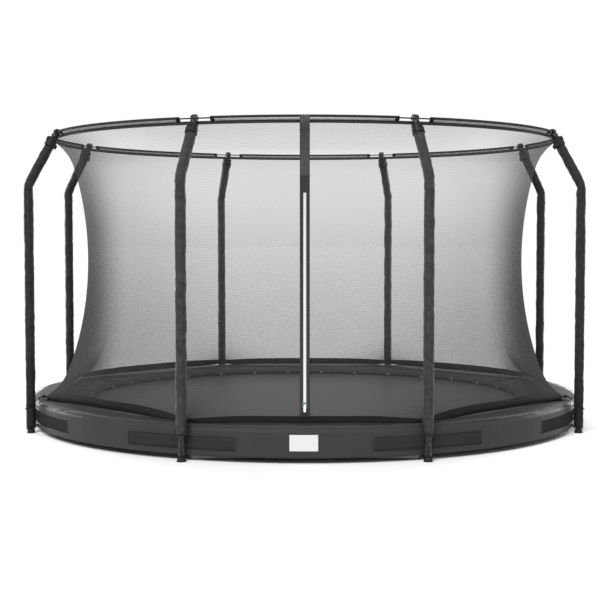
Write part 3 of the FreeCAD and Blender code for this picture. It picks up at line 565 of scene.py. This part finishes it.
def swollenCushion(wide):
    bm = bmesh.new()
    blank = [(r, z - swell["start"] * roundStep(z, *swell["topSpan"])) for r, z in pad["profile"]]
    spinProfile(bm, blank, pad["gap"] - wide / 2, wide / 2 - pad["gap"], pad["steps"])
    bmesh.ops.recalc_face_normals(bm, faces=bm.faces[:])
    mesh = meshFrom(bm, "cushionBlank")
    blank = addObject("cushionBlank", mesh)
    grid = blank.modifiers.new("grid", "REMESH")
    grid.mode = "VOXEL"
    grid.voxel_size = swell["voxel"]
    even = bpy.data.meshes.new_from_object(blank.evaluated_get(bpy.context.evaluated_depsgraph_get()))
    blank.modifiers.clear()
    blank.data = even
    # the underside and the sewn edges are held
    held = blank.vertex_groups.new(name="held")
    for vert in even.vertices:
        radius = math.hypot(vert.co.x, vert.co.y)
        ends = (wide / 2 - abs(azimuthOf(vert.co))) * swell["degree"]
        edge = min(radius - swell["inner"], swell["outer"] - radius, ends)
        grip = 1.0 if vert.co.z < swell["low"] or edge < swell["edge"] else 0.0
        held.add([vert.index], grip, "REPLACE")
    cover = blank.modifiers.new("cover", "CLOTH")
    cover.settings.quality = 5
    cover.settings.mass = 0.3
    cover.settings.tension_stiffness = swell["stiff"]
    cover.settings.compression_stiffness = swell["stiff"]
    cover.settings.shear_stiffness = swell["stiff"] / 3
    cover.settings.bending_stiffness = swell["bend"]
    cover.settings.shrink_min = swell["slack"]
    cover.settings.use_pressure = True
    cover.settings.uniform_pressure_force = swell["pressure"]
    cover.settings.vertex_group_mass = "held"
    cover.settings.effector_weights.gravity = 0
    cover.collision_settings.use_collision = False
    for frameNumber in range(1, swell["frames"] + 1):
        bpy.context.scene.frame_set(frameNumber)
    full = bpy.data.meshes.new_from_object(blank.evaluated_get(bpy.context.evaluated_depsgraph_get()))
    bpy.context.scene.frame_set(1)
    for before, after in zip(even.vertices, full.vertices):
        move = after.co - before.co
        if move.length > swell["cap"]:
            after.co = before.co + move.normalized() * swell["cap"]
    bpy.data.objects.remove(blank)
    return full


cushionForms = [swollenCushion(high - low) for low, high in panelSpans[:2]]
print("cushions swollen:", [len(form.vertices) for form in cushionForms])
for number, (low, high) in enumerate(panelSpans, start=1):
    bm = bmesh.new()
    bm.from_mesh(cushionForms[(number - 1) % 2])
    bmesh.ops.rotate(bm, verts=bm.verts[:], cent=(0, 0, 0),
                     matrix=Matrix.Rotation(math.radians((low + high) / 2), 3, "Z"))
    for vert in bm.verts:
        azimuth = azimuthOf(vert.co)
        share, half = panelShare(azimuth)
        radius = math.hypot(vert.co.x, vert.co.y)
        top = roundStep(vert.co.z, *pad["topSpan"])
        # each end dips to its seam, with puckers beside it
        seam = math.exp(-(1 - share) * half / pad["seamWidth"])
        near = math.exp(-(1 - share) * half / pad["puckerWidth"])
        vert.co.z -= seam * pad["seamDip"] * top
        vert.co.z += near * pad["pucker"] * math.sin(radius * pad["puckers"] + number * 2) * top
        around = math.radians(azimuth) * pad["middle"] / pad["unevenAround"]
        spread = Vector((around, radius / pad["unevenAcross"], number * 3.7))
        vert.co.z += noise.noise(spread) * pad["uneven"] * top
        vert.co.z += ruffle(vert.co, pad["crumpleSize"], pad["crumple"], 3) * top
        # the loops pull the inner edge inwards and down
        inner = 1 - roundStep(radius, pad["profile"][0][0], pad["edgeEnd"])
        turn = (azimuth - low) % 360 / (high - low) * pad["loops"]
        pull = 0.5 + 0.5 * math.cos(math.pi * (turn - 1))
        slack = pad["loopPull"] * (1 - pull) + ruffle(vert.co, 0.03, pad["edgeRuffle"], 9)
        setRadius(vert, radius + inner * slack)
        vert.co.z -= inner * pull * pad["loopDrop"] * top
    cushion = finishPiece(bm, f"padCushion{number}", "pad_cover", ["pad"] if number == 1 else ())

    bm = bmesh.new()
    spinProfile(bm, circleProfile(*pad["piping"], 6), low + pad["pipingGap"], high - pad["pipingGap"], 48)
    finishPiece(bm, f"padPiping{number}", "pad_cover", finish="pad_piping")
print("pad made")

# Skirt, windows and label
skirt = {"radius": 1.98915, "thick": 0.0014, "steps": 576,
         "levels": (0.034, 0.045, 0.058, 0.070, 0.098, 0.126, 0.154, 0.168, 0.182, 0.206)}
vent = {"starts": (12, 51), "wide": 21.55, "low": 0.070, "high": 0.154, "radius": 1.9875,
        "levels": (0.062, 0.090, 0.126, 0.162), "lap": 0.23, "thick": 0.0008,
        "hemRadii": (1.9901, 1.9912), "hem": 0.008, "hemLap": 0.12}
windows = []
for start in vent["starts"]:
    windows += [(start, start + vent["wide"]), (180 - start - vent["wide"], 180 - start)]
windows += [(-high, -low) for low, high in windows]


def turnBetween(one, other):
    return abs((one - other + 180) % 360 - 180)


def spinHem(bm, low, high, start, end, steps):
    # a flat sewn edge
    inside, outside = vent["hemRadii"]
    spinProfile(bm, [(inside, low), (outside, low + 0.001), (outside, high - 0.001), (inside, high)],
                start, end, steps)


bm = bmesh.new()
spinProfile(bm, [(skirt["radius"], z) for z in skirt["levels"]], 0, 360, skirt["steps"], closed=False)
# the nearest column of points moves onto each side of each window
for azimuth in [edge for window in windows for edge in window]:
    columns = {}
    for vert in bm.verts:
        if turnBetween(azimuthOf(vert.co), azimuth) < 0.32:
            columns.setdefault(round(azimuthOf(vert.co), 3), []).append(vert)
    for vert in columns[min(columns, key=lambda column: turnBetween(column, azimuth))]:
        vert.co = polar(azimuth, skirt["radius"], vert.co.z)
openFaces = []
for face in bm.faces:
    middle = face.calc_center_median()
    inWindow = any(low < azimuthOf(middle) < high for low, high in windows)
    if inWindow and vent["low"] < middle.z < vent["high"]:
        openFaces.append(face)
bmesh.ops.delete(bm, geom=openFaces, context="FACES")
skirtWall = finishPiece(bm, "skirtWall", "skirt_cloth", ["pad_skirt"])
addThickness(skirtWall, skirt["thick"])
for number, (low, high) in enumerate(windows, start=1):
    bm = bmesh.new()
    spinProfile(bm, [(vent["radius"], z) for z in vent["levels"]], low - vent["lap"], high + vent["lap"], 36,
                closed=False)
    ventMesh = finishPiece(bm, f"ventMesh{number}", "window_mesh", ["vent_windows"] if number == 1 else ())
    addThickness(ventMesh, vent["thick"])
    bm = bmesh.new()
    foot, head = vent["levels"][0], vent["levels"][-1]
    for z in (foot, head - vent["hem"]):
        spinHem(bm, z, z + vent["hem"], low - vent["hemLap"], high + vent["hemLap"], 36)
    for azimuth in (low, high):
        spinHem(bm, foot, head, azimuth - vent["hemLap"], azimuth + vent["hemLap"], 2)
    finishPiece(bm, f"ventHem{number}", "skirt_cloth")

label = {"wide": 0.171, "low": 0.078, "high": 0.176, "aside": -0.006, "radius": 1.9905, "thick": 0.0009,
         "edge": 0.0005}
labelFace = label["radius"] + label["thick"]
halfLabel = math.degrees(label["wide"] / 2 / label["radius"])
midLabel = math.degrees(label["aside"] / label["radius"])
bm = bmesh.new()
spinProfile(bm, [(label["radius"], label["low"]), (labelFace, label["low"] + label["edge"]),
                 (labelFace, label["high"] - label["edge"]), (label["radius"], label["high"])],
            midLabel - halfLabel, midLabel + halfLabel, 12)
finishPiece(bm, "skirtLabel", "white_label", ["skirt_label"], smooth=False)

padLoop = {"places": (1, 3, 5, 7), "half": 0.2,
           "profile": [(1.5655, 0.177), (1.5655, 0.185), (1.5635, 0.1855), (1.5620, 0.181),
                       (1.5635, 0.1765)]}
bm = bmesh.new()
for low, high in panelSpans:
    for place in padLoop["places"]:
        azimuth = low + (high - low) * place / pad["loops"]
        spinProfile(bm, padLoop["profile"], azimuth - padLoop["half"], azimuth + padLoop["half"], 3)
finishPiece(bm, "padLoops", "white_elastic", ["pad_loops"])
print("skirt made")

# Net. It follows an arc up its height, flares out to the rods and is pulled out to a tie at each post.
net = {"arc": 2.195, "centre": 3.779043, "middle": 1.199, "top": 2.042, "topRadius": 1.824, "flare": 0.233,
       "corner": 1.934, "cornerHeight": 0.250, "fade": 0.090, "waist": 0.013, "waistMiddle": 1.18,
       "waistReach": 0.86, "backFrom": 135, "rows": 44, "columns": 336, "lowRows": 1.25}
hem = {"low": 0.219, "high": 0.262, "corner": 0.022, "turn": 20, "flatFrom": 100, "flatLift": 0.2,
       "arch": 0.022, "archLow": 0.45, "archFull": 40, "backSpan": (150, 165), "backEase": 0.2,
       "frontDip": 0.012, "dipReach": 9, "sideRise": 0.005, "sideSpan": (46, 57), "cornerRise": 0.8,
       "frontDrop": 0.4, "steps": 320, "thick": 0.0028,
       "topProfile": [(1.823, 2.0410), (1.825, 2.0410), (1.8256, 2.052), (1.825, 2.0622), (1.823, 2.0622),
                      (1.8224, 2.052)]}
gather = {"wide": 0.16, "high": 0.11, "folds": 22, "waves": 9, "depth": 0.005, "dark": 0.34, "backDark": 0.1}


def arcRadius(z, inset=0.0):
    return net["centre"] - math.sqrt((net["arc"] - inset) ** 2 - (z - net["middle"]) ** 2)


def netProfile(z):
    radius = arcRadius(z)
    start = net["top"] - net["flare"]
    if z > start:
        radius += (net["topRadius"] - arcRadius(net["top"])) * ((z - start) / net["flare"]) ** 3
    return radius


def netRadius(azimuth, z):
    pull = min(1.0, math.exp(-(z - net["cornerHeight"]) / net["fade"]))
    # the waist stands a little wider at both sides than at the zip
    bulge = max(0.0, 1 - ((z - net["waistMiddle"]) / net["waistReach"]) ** 2) * net["waist"]
    bulge *= math.sin(math.radians(azimuth)) ** 2
    outwards = net["corner"] * chordScale(azimuth) - arcRadius(net["cornerHeight"])
    return netProfile(z) + bulge + pull * outwards


def hemLevels(azimuth):
    # the hem's lower and upper edge: it turns up to the tie at each post and arches between
    share, half = panelShare(azimuth)
    side = abs(azimuth)
    nearBack = net["backFrom"] < side < 180 - ring["poleAngle"]
    corner = share ** (hem["turn"] / (2 if nearBack else 1))
    lift = 1 if side < hem["flatFrom"] or nearBack else hem["flatLift"]
    raised = roundStep(side, ring["poleAngle"], hem["archFull"])
    raised *= 1 - hem["backEase"] * roundStep(side, *hem["backSpan"])
    arch = hem["arch"] * (1 - share ** 4) * raised
    low = hem["low"] + (net["cornerHeight"] - hem["corner"] / 2 - hem["low"]) * corner * lift
    high = hem["high"] + (net["cornerHeight"] + hem["corner"] / 2 - hem["high"]) * corner
    # near the two front posts the hem narrows from above
    dip = hem["frontDip"] * (1 - roundStep(abs(side - ring["poleAngle"]), 0, hem["dipReach"]))
    atCorner = hem["cornerRise"] if side > ring["poleAngle"] else -hem["frontDrop"]
    rise = hem["sideRise"] * (roundStep(side, *hem["sideSpan"]) + atCorner * corner)
    return low + arch * hem["archLow"] - dip * corner + rise, high + arch - dip + rise


def tieDistance(azimuth):
    share, half = panelShare(azimuth)
    return math.radians((1 - share) * half) * net["corner"]


def gatherAt(azimuth, z):
    # the net is drawn together towards the tie at each post
    across = math.exp(-(tieDistance(azimuth) / gather["wide"]) ** 2)
    return across * math.exp(-max(0.0, z - net["cornerHeight"]) / gather["high"])


bm = bmesh.new()
spinProfile(bm, [(1.7, i / net["rows"]) for i in range(net["rows"] + 1)], -ring["poleAngle"],
            360 - ring["poleAngle"], net["columns"], closed=False)
for vert in bm.verts:
    azimuth = azimuthOf(vert.co)
    foot = hemLevels(azimuth)[1]
    vert.co.z = foot + (net["top"] - foot) * vert.co.z ** net["lowRows"]
    fan = math.atan2(tieDistance(azimuth), vert.co.z - net["cornerHeight"] + 0.05)
    fold = math.sin(fan * gather["folds"] + math.sin(vert.co.z * gather["waves"])) * gather["depth"]
    setRadius(vert, netRadius(azimuth, vert.co.z) + fold * gatherAt(azimuth, vert.co.z))
gathers = []
for vert in bm.verts:
    azimuth = azimuthOf(vert.co)
    # the two back posts pull the net together less
    dark = gather["backDark"] if abs(azimuth) > net["backFrom"] else gather["dark"]
    gathers.append(gatherAt(azimuth, vert.co.z) * dark)
netWall = finishPiece(bm, "netWall", "net_mesh", ["net"])
gatherData = netWall.data.attributes.new("gather", "FLOAT", "POINT")
gatherData.data.foreach_set("value", gathers)

bm = bmesh.new()
spinProfile(bm, [(1.7, -1), (1.7, 0), (1.7, 1)], -ring["poleAngle"], 360 - ring["poleAngle"], hem["steps"],
            closed=False)
for vert in bm.verts:
    azimuth = azimuthOf(vert.co)
    low, high = hemLevels(azimuth)
    vert.co.z = (low + high) / 2 + vert.co.z * (high - low) / 2
    setRadius(vert, netRadius(azimuth, vert.co.z))
bottomHem = finishPiece(bm, "netBottomHem", "net_webbing", ["net_bottom_hem"])
addThickness(bottomHem, hem["thick"])

bm = bmesh.new()
spinProfile(bm, hem["topProfile"], 0, 360, hem["steps"])
topHem = finishPiece(bm, "netTopHem", "net_webbing", ["net_top_hem"], finish="top_webbing")

# The sheer sleeve round the rod, with a welt along its top and a bound end at each post.
topSleeve = {
    "gap": 3.3, "rod": 0.0045, "welt": (1.8425, 2.0845, 0.0052), "bound": 0.65, "lengths": (1.165, 1.302),
    "profile": [(1.8245, 2.0625), (1.8290, 2.068), (1.834, 2.0735), (1.8355, 2.0795), (1.838, 2.0845),
                (1.8425, 2.086), (1.848, 2.083), (1.8495, 2.077), (1.847, 2.070), (1.838, 2.0625),
                (1.8252, 2.0625)],
    "binding": [(1.8235, 2.0600), (1.8270, 2.070), (1.833, 2.077), (1.8345, 2.084), (1.8400, 2.0890),
                (1.849, 2.0875), (1.8520, 2.078), (1.849, 2.069), (1.838, 2.0600)],
}
bm = bmesh.new()
spinProfile(bm, circleProfile(ring["rodRadius"], ring["rodHeight"], topSleeve["rod"], 10), 0, 360, 256)
finishPiece(bm, "ringRods", "dark_rod", ["ring_rods"])
bindings = bmesh.new()
for number, (low, high) in enumerate(panelSpans, start=1):
    first, last = low + topSleeve["gap"], high - topSleeve["gap"]
    bm = bmesh.new()
    spinProfile(bm, topSleeve["profile"], first, last, 48, closed=False)
    sleeve = finishPiece(bm, f"netTopSleeve{number}", "sheer_cloth",
                         ["net_top_sleeve"] if number == 1 else ())
    bm = bmesh.new()
    spinProfile(bm, circleProfile(*topSleeve["welt"], 8), first, last, 64)
    welt = finishPiece(bm, f"netTopWelt{number}", "net_webbing", finish="top_webbing")
    for start in (first, last - topSleeve["bound"]):
        spinProfile(bindings, topSleeve["binding"], start, start + topSleeve["bound"], 3)
sleeveBindings = finishPiece(bindings, "sleeveBindings", "net_webbing")
print("net made")

# Ties: a cord from the net's corner round the post and back. Places are (aside, radius, height).
tie = {"cord": 0.005, "start": (0.005, 1.9655, 0.250), "way": (0.033, 2.003, 0.226), "reach": 0.0415,
       "besideHeight": 0.204, "slantHeight": 0.170, "behindHeight": 0.165}
slant = tie["reach"] * math.cos(math.radians(45))
half = [tie["start"], tie["way"], (tie["reach"], ring["poleRadius"], tie["besideHeight"]),
        (slant, ring["poleRadius"] + slant, tie["slantHeight"])]
behind = (0, ring["poleRadius"] + tie["reach"], tie["behindHeight"])
whole = half + [behind] + [(-x, r, z) for x, r, z in reversed(half)]
for number, azimuth in enumerate(poleAzimuths, start=1):
    route = bpy.data.curves.new(f"tieCord{number}", "CURVE")
    route.dimensions = "3D"
    spline = route.splines.new("NURBS")
    spline.points.add(len(whole) - 1)
    for point, (x, r, z) in zip(spline.points, whole):
        point.co = (*beside(azimuth, x, r, z), 1)
    spline.order_u = 3
    spline.use_endpoint_u = True
    route.bevel_depth = tie["cord"] / 2
    route.bevel_resolution = 3
    route.use_fill_caps = True
    route.materials.append(finishes["black_cord"])
    cord = addObject(f"tieCord{number}", route)
    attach(cord, "frame")
    if number == 1:
        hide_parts("net_cords")

# Posts
post = {"sleeve": 0.066, "sleeveFoot": 0.157, "longFoot": 0.034, "longSleeves": (3, 8),
        "shadedSleeves": (3, 4, 7, 8), "collarFoot": 0.109, "bendRun": 0.045, "spacing": 0.02, "segments": 32,
        "vee": 0.020}
crease = {"size": 0.032, "depth": 0.0028, "bendDepth": 0.004, "bendReach": 0.07, "fineSize": 0.012,
          "fine": 0.0014, "wideSize": 0.09, "wide": 0.002, "shrink": 0.0004, "fold": 0.008,
          "foldBelow": 0.02, "foldReach": 0.012, "seam": 0.0015, "seamInwards": 0.55,
          "seamFrom": 0.85, "seamBlend": 0.3, "stitch": 0.0018, "stitchLength": 0.0035}
inwards = ring["poleRadius"] - ring["rodRadius"]
upwards = ring["rodHeight"] - ring["bendHeight"]
lean = math.atan2(inwards, upwards)


def postPoints(azimuth, foot, short, spacing):
    # points up a post, round its bend and along the arm
    run = post["bendRun"]
    straight = ring["bendHeight"] - run - foot
    steps = int(straight / spacing)
    points = [(ring["poleRadius"], foot + straight * i / steps) for i in range(steps + 1)]
    rounding = run / math.tan(lean / 2)
    for i in range(1, 7):
        turn = lean * i / 6
        points.append((ring["poleRadius"] - rounding * (1 - math.cos(turn)),
                       ring["bendHeight"] - run + rounding * math.sin(turn)))
    reach = math.hypot(inwards, upwards) - short
    steps = max(1, int((reach - run) / spacing))
    for i in range(1, steps + 1):
        along = run + (reach - run) * i / steps
        points.append((ring["poleRadius"] - along * math.sin(lean),
                       ring["bendHeight"] + along * math.cos(lean)))
    return [polar(azimuth, radius, height) for radius, height in points]


for number, azimuth in enumerate(poleAzimuths, start=1):
    foot = post["longFoot"] if number in post["longSleeves"] else post["sleeveFoot"]
    path = postPoints(azimuth, foot, post["collarFoot"], post["spacing"])
    bm = bmesh.new()
    sweepTube(bm, path, post["sleeve"], post["segments"])
    outward = polar(azimuth, 1, 0)
    aside = beside(azimuth, 1, 1, 0) - outward
    for vert in bm.verts:
        centre = min(path, key=lambda p: (p - vert.co).length_squared)
        out = vert.co - centre
        out = out.normalized() if out.length > 1e-6 else Vector((0, 0, 0))
        # loose creases, deeper at the bend
        aboveBend = vert.co.z - ring["bendHeight"]
        depth = crease["depth"] + crease["bendDepth"] * math.exp(-(aboveBend / crease["bendReach"]) ** 2)
        vert.co += out * (ruffle(vert.co, crease["size"], depth, number) - crease["shrink"])
        fine = ruffle(vert.co, crease["fineSize"], crease["fine"], number + 9)
        vert.co += out * (fine + ruffle(vert.co, crease["wideSize"], crease["wide"], number + 5))
        # one fold inside the bend
        fold = math.exp(-((vert.co.z - ring["bendHeight"] + crease["foldBelow"]) / crease["foldReach"]) ** 2)
        vert.co -= out * fold * crease["fold"] * max(0.0, -out.dot(outward))
        # a stitched seam up one side
        sideways = out.dot(aside) - out.dot(outward) * crease["seamInwards"]
        seam = max(0.0, sideways - crease["seamFrom"]) / crease["seamBlend"]
        stitch = crease["seam"] + crease["stitch"] * math.sin(vert.co.z / crease["stitchLength"])
        vert.co += out * min(1.0, seam) * stitch
        # the foot's edge is cut higher at the sides
        if vert.co.z < foot + 0.02 and centre.z < foot + 0.001:
            vert.co.z += post["vee"] * (abs(out.dot(aside)) - 0.5)
    # the side posts take the darker copy of the sleeve cloth: painted shade
    finish = "side_sleeve" if number in post["shadedSleeves"] else "foam_sleeve"
    sleeve = finishPiece(bm, f"postSleeve{number}", "foam_sleeve", [f"pole_sleeve_{number}"], finish=finish)

# Turned parts, as (along, radius) round their axis.
hardware = {
    "eye": [(-0.0200, 0.0058), (-0.0200, 0.0180), (-0.0175, 0.0222), (-0.0120, 0.0247), (0.0120, 0.0247),
            (0.0175, 0.0222), (0.0200, 0.0180), (0.0200, 0.0058)],
    "socket": [(0.012, 0), (0.012, 0.0185), (0.016, 0.0225), (0.042, 0.0230), (0.044, 0.0215), (0.044, 0)],
    "foot": [(0.0, 0), (0.0, 0.0285), (0.004, 0.0290), (0.008, 0.0278), (0.018, 0.0248), (0.026, 0.0240),
             (0.028, 0.0225), (0.028, 0)],
    "knot": [(-0.015, 0), (-0.0145, 0.006), (-0.010, 0.0105), (-0.002, 0.0125), (0.006, 0.0110),
             (0.013, 0.007), (0.015, 0)],
    "tube": [(0.0283, 0), (0.0283, 0.0200), (1.0, 0.0200), (1.0, 0)],
    "bracket": [(0, 0), (0, 0.009), (0.042, 0.009), (0.042, 0)],
    "bracketRadius": 1.982, "bracketHeights": (0.050, 0.112),
    "knotRadius": 1.9497, "knotHeight": 0.250, "frontKnotHeight": 0.244,
}
upright = Vector((0, 0, 1))
caps = bmesh.new()
feet = bmesh.new()
knots = bmesh.new()
for number, azimuth in enumerate(poleAzimuths, start=1):
    outward = polar(azimuth, 1, 0)
    aside = beside(azimuth, 1, 1, 0) - outward
    downArm = outward * math.sin(lean) - upright * math.cos(lean)
    rod = polar(azimuth, ring["rodRadius"], ring["rodHeight"])
    latheAt(caps, rod, aside, hardware["eye"], 28)
    latheAt(caps, rod, downArm, hardware["socket"], 24, closed=False)
    base = polar(azimuth, ring["poleRadius"], 0)
    latheAt(feet, base, upright, hardware["foot"], 28, closed=False)
    knotHeight = hardware["frontKnotHeight"] if number < 3 else hardware["knotHeight"]
    latheAt(knots, polar(azimuth, hardware["knotRadius"], knotHeight), outward, hardware["knot"], 14,
            closed=False)
    bm = bmesh.new()
    latheAt(bm, base, upright, hardware["tube"], 24, closed=False)
    for height in hardware["bracketHeights"]:
        latheAt(bm, polar(azimuth, hardware["bracketRadius"], height), outward, hardware["bracket"], 16,
                closed=False)
    finishPiece(bm, f"postTube{number}", "black_tube", [f"pole_lower_{number}"])
finishPiece(caps, "ringCaps", "grey_plastic", ["ring_caps"])
finishPiece(feet, "footCaps", "black_plastic", ["foot_caps"])
finishPiece(knots, "netKnots", "black_plastic", ["net_hooks"])
print("posts made")

# Springs
spring = {"inner": 1.7724, "coilStart": 1.790, "coilEnd": 1.9205, "outer": 1.9377, "coil": 0.0085,
          "wire": 0.0017, "turns": 24, "height": 0.170, "perPanel": 8}
bm = bmesh.new()
wire = bmesh.ops.create_circle(bm, segments=4, radius=spring["wire"])["verts"]
bmesh.ops.rotate(bm, verts=wire, cent=(0, 0, 0), matrix=Matrix.Rotation(math.pi / 2, 3, "Y"))
bmesh.ops.translate(bm, verts=wire, vec=(0, -spring["coilStart"], spring["height"] + spring["coil"]))
steps = spring["turns"] * 8
advance = Vector((0, -(spring["coilEnd"] - spring["coilStart"]) / steps, 0))
bmesh.ops.spin(bm, geom=wire + bm.edges[:], cent=(0, -spring["coilStart"], spring["height"]),
               axis=(0, -1, 0), dvec=advance, angle=math.tau * spring["turns"], steps=steps)
for hook in ((spring["inner"], spring["coilStart"]), (spring["coilEnd"], spring["outer"])):
    sweepTube(bm, [polar(0, reach, spring["height"]) for reach in hook], 2 * spring["wire"], 6)
oneSpring = meshFrom(bm, "oneSpring")
for number, (low, high) in enumerate(panelSpans, start=1):
    for part in (0, 1):
        bm = bmesh.new()
        step = (high - low) / spring["perPanel"]
        some = spring["perPanel"] // 2
        middles = [low + step * (i + 0.5) for i in range(some * part, some * part + some)]
        for azimuth in middles:
            known = len(bm.verts)
            bm.from_mesh(oneSpring)
            bm.verts.ensure_lookup_table()
            bmesh.ops.rotate(bm, verts=bm.verts[known:], cent=(0, 0, 0),
                             matrix=Matrix.Rotation(math.radians(azimuth), 3, "Z"))
        coils = finishPiece(bm, f"springCoils{number}{'ab'[part]}", "spring_wire",
                            ["springs"] if number == 1 and part == 0 else (), body=None)
        middle = sum(middles) / some
        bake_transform(coils)
print("springs made")

# Zip: a webbing strip outside the net, sewn across twice, with the white zip down its middle.
strip = {"wide": 0.062, "thick": 0.003, "off": 0.0075, "foot": 0.256, "bend": 2.028, "levels": 60,
         "across": (-1, -0.9, -0.5, 0, 0.5, 0.9, 1), "seams": (1.734, 2.007), "seam": (0.063, 0.0016, 0.013),
         "overRod": [(1.8385, 2.0405), (1.8448, 2.0531), (1.8483, 2.069), (1.8518, 2.085)]}
zipper = {"wide": 0.0175, "foot": 0.306, "top": 1.628, "levels": 220, "gap": 0.0003,
          "section": [(-0.5, 0), (-0.5, 0.0010), (-0.2, 0.0012), (-0.17, 0.0022), (0.17, 0.0022),
                      (0.2, 0.0012), (0.5, 0.0010), (0.5, 0)]}


def stripRadius(z):
    return arcRadius(z, strip["off"]) + netProfile(z) - arcRadius(z)


def levelsOf(piece, top):
    return [piece["foot"] + (top - piece["foot"]) * i / piece["levels"] for i in range(piece["levels"] + 1)]


def growUp(bm, edges, places):
    # a row of edges at the front carried through places of (radius, height)
    for before, after in zip(places, places[1:]):
        verts, edges = grownFrom(bm, edges)
        bmesh.ops.translate(bm, verts=verts, vec=(0, before[0] - after[0], after[1] - before[1]))
    return edges


rows = [(stripRadius(z), z) for z in levelsOf(strip, strip["bend"])] + strip["overRod"]
bm = bmesh.new()
line = [bm.verts.new((strip["wide"] / 2 * x, -rows[0][0], rows[0][1])) for x in strip["across"]]
growUp(bm, [bm.edges.new(pair) for pair in zip(line, line[1:])], rows)
zipStrip = finishPiece(bm, "zipStrip", "net_webbing", ["zip_strip"], finish="strip_webbing")
addThickness(zipStrip, strip["thick"])

bm = bmesh.new()
for z in strip["seams"]:
    bar = bmesh.ops.create_cube(bm, size=1)["verts"]
    bmesh.ops.scale(bm, verts=bar, vec=strip["seam"])
    bmesh.ops.translate(bm, verts=bar, vec=(0, -stripRadius(z) - strip["thick"] / 2, z))
    bmesh.ops.bevel(bm, geom=[e for e in bm.edges if e.verts[0] in bar and e.verts[1] in bar],
                    offset=0.0006, segments=2, profile=0.5, affect="EDGES", material=-1)
stripSeams = finishPiece(bm, "stripSeams", "net_webbing", finish="top_webbing")

bm = bmesh.new()
inset = strip["off"] + strip["thick"] / 2 + zipper["gap"]
line = [bm.verts.new((zipper["wide"] * x, -arcRadius(zipper["foot"], inset + y), zipper["foot"]))
        for x, y in zipper["section"]]
first = [bm.edges.new(pair) for pair in zip(line, line[1:] + line[:1])]
last = growUp(bm, first, [(arcRadius(z, inset), z) for z in levelsOf(zipper, zipper["top"])])
bmesh.ops.contextual_create(bm, geom=first)
bmesh.ops.contextual_create(bm, geom=last)
finishPiece(bm, "zipTeeth", "white_zip", ["zip_track"], smooth=False)
print("zip made")

# Stage, lights and camera
stage = {"floor": 0.97, "floorSize": 400, "ambient": 0.46, "aim": 0.8, "sun": 2.7, "sunSoftness": 35,
         "sunPlace": (-3.0, -8.0, 9.5), "fill": 60, "fillSize": 4, "fillPlace": (5, -9, 2.5), "rim": 60,
         "rimSize": 2, "rimSpread": 50, "rimPlace": (6.0, 4.5, 1.7)}
bm = bmesh.new()
bmesh.ops.create_circle(bm, segments=64, radius=stage["floorSize"], cap_ends=True)
floor = addObject("floor", meshFrom(bm, "floor"))
floorPaint, floorShader = startMaterial("floorPaint", 0.9, 0)[::2]
floorShader.inputs["Base Color"].default_value = (stage["floor"],) * 3 + (1,)
floor.data.materials.append(floorPaint)

# White where the camera or a reflection looks at it, softer as a light.
world = bpy.data.worlds.new("studio")
bpy.context.scene.world = world
world.use_nodes = True
worldTree = world.node_tree
worldTree.nodes.clear()
choice = worldTree.nodes.new("ShaderNodeMixShader")
for socket, strength in ((1, stage["ambient"]), (2, 1.0)):
    white = worldTree.nodes.new("ShaderNodeBackground")
    white.inputs["Strength"].default_value = strength
    white.inputs["Color"].default_value = (1, 1, 1, 1)
    worldTree.links.new(white.outputs[0], choice.inputs[socket])
rays = worldTree.nodes.new("ShaderNodeLightPath").outputs
direct = mathNode(worldTree, "MAXIMUM", rays["Is Camera Ray"], rays["Is Glossy Ray"])
direct = mathNode(worldTree, "MAXIMUM", direct, rays["Is Transmission Ray"])
worldTree.links.new(direct, choice.inputs[0])
worldOut = worldTree.nodes.new("ShaderNodeOutputWorld")
worldTree.links.new(choice.outputs[0], worldOut.inputs["Surface"])


def addLamp(name, kind, energy, place):
    lamp = bpy.data.lights.new(name, kind)
    lamp.energy = energy
    lampObject = addObject(name, lamp)
    lampObject.location = place
    aim = Vector((0, 0, stage["aim"])) - Vector(place)
    lampObject.rotation_euler = aim.to_track_quat("-Z", "Y").to_euler()
    return lamp


sun = addLamp("sunLight", "SUN", stage["sun"], stage["sunPlace"])
sun.angle = math.radians(stage["sunSoftness"])
fill = addLamp("fillLight", "AREA", stage["fill"], stage["fillPlace"])
fill.size = stage["fillSize"]
for side in (-1, 1):
    x, y, z = stage["rimPlace"]
    rim = addLamp(f"rimLight{side}", "AREA", stage["rim"], (side * x, y, z))
    rim.size = stage["rimSize"]
    rim.spread = math.radians(stage["rimSpread"])

view = {"lens": 74.93, "distance": 9.57, "height": 1.344, "pitch": 3.07, "shift": 0.0044}
camera = bpy.data.cameras.new("camera")
camera.sensor_width = 36
camera.lens = view["lens"]
camera.shift_x = view["shift"]
camera.clip_end = 200
cameraObject = addObject("camera", camera)
cameraObject.location = (0, -view["distance"], view["height"])
cameraObject.rotation_euler = (math.radians(90 - view["pitch"]), 0, 0)
bpy.context.scene.camera = cameraObject
bpy.context.scene.view_settings.view_transform = "Standard"
print("stage made")
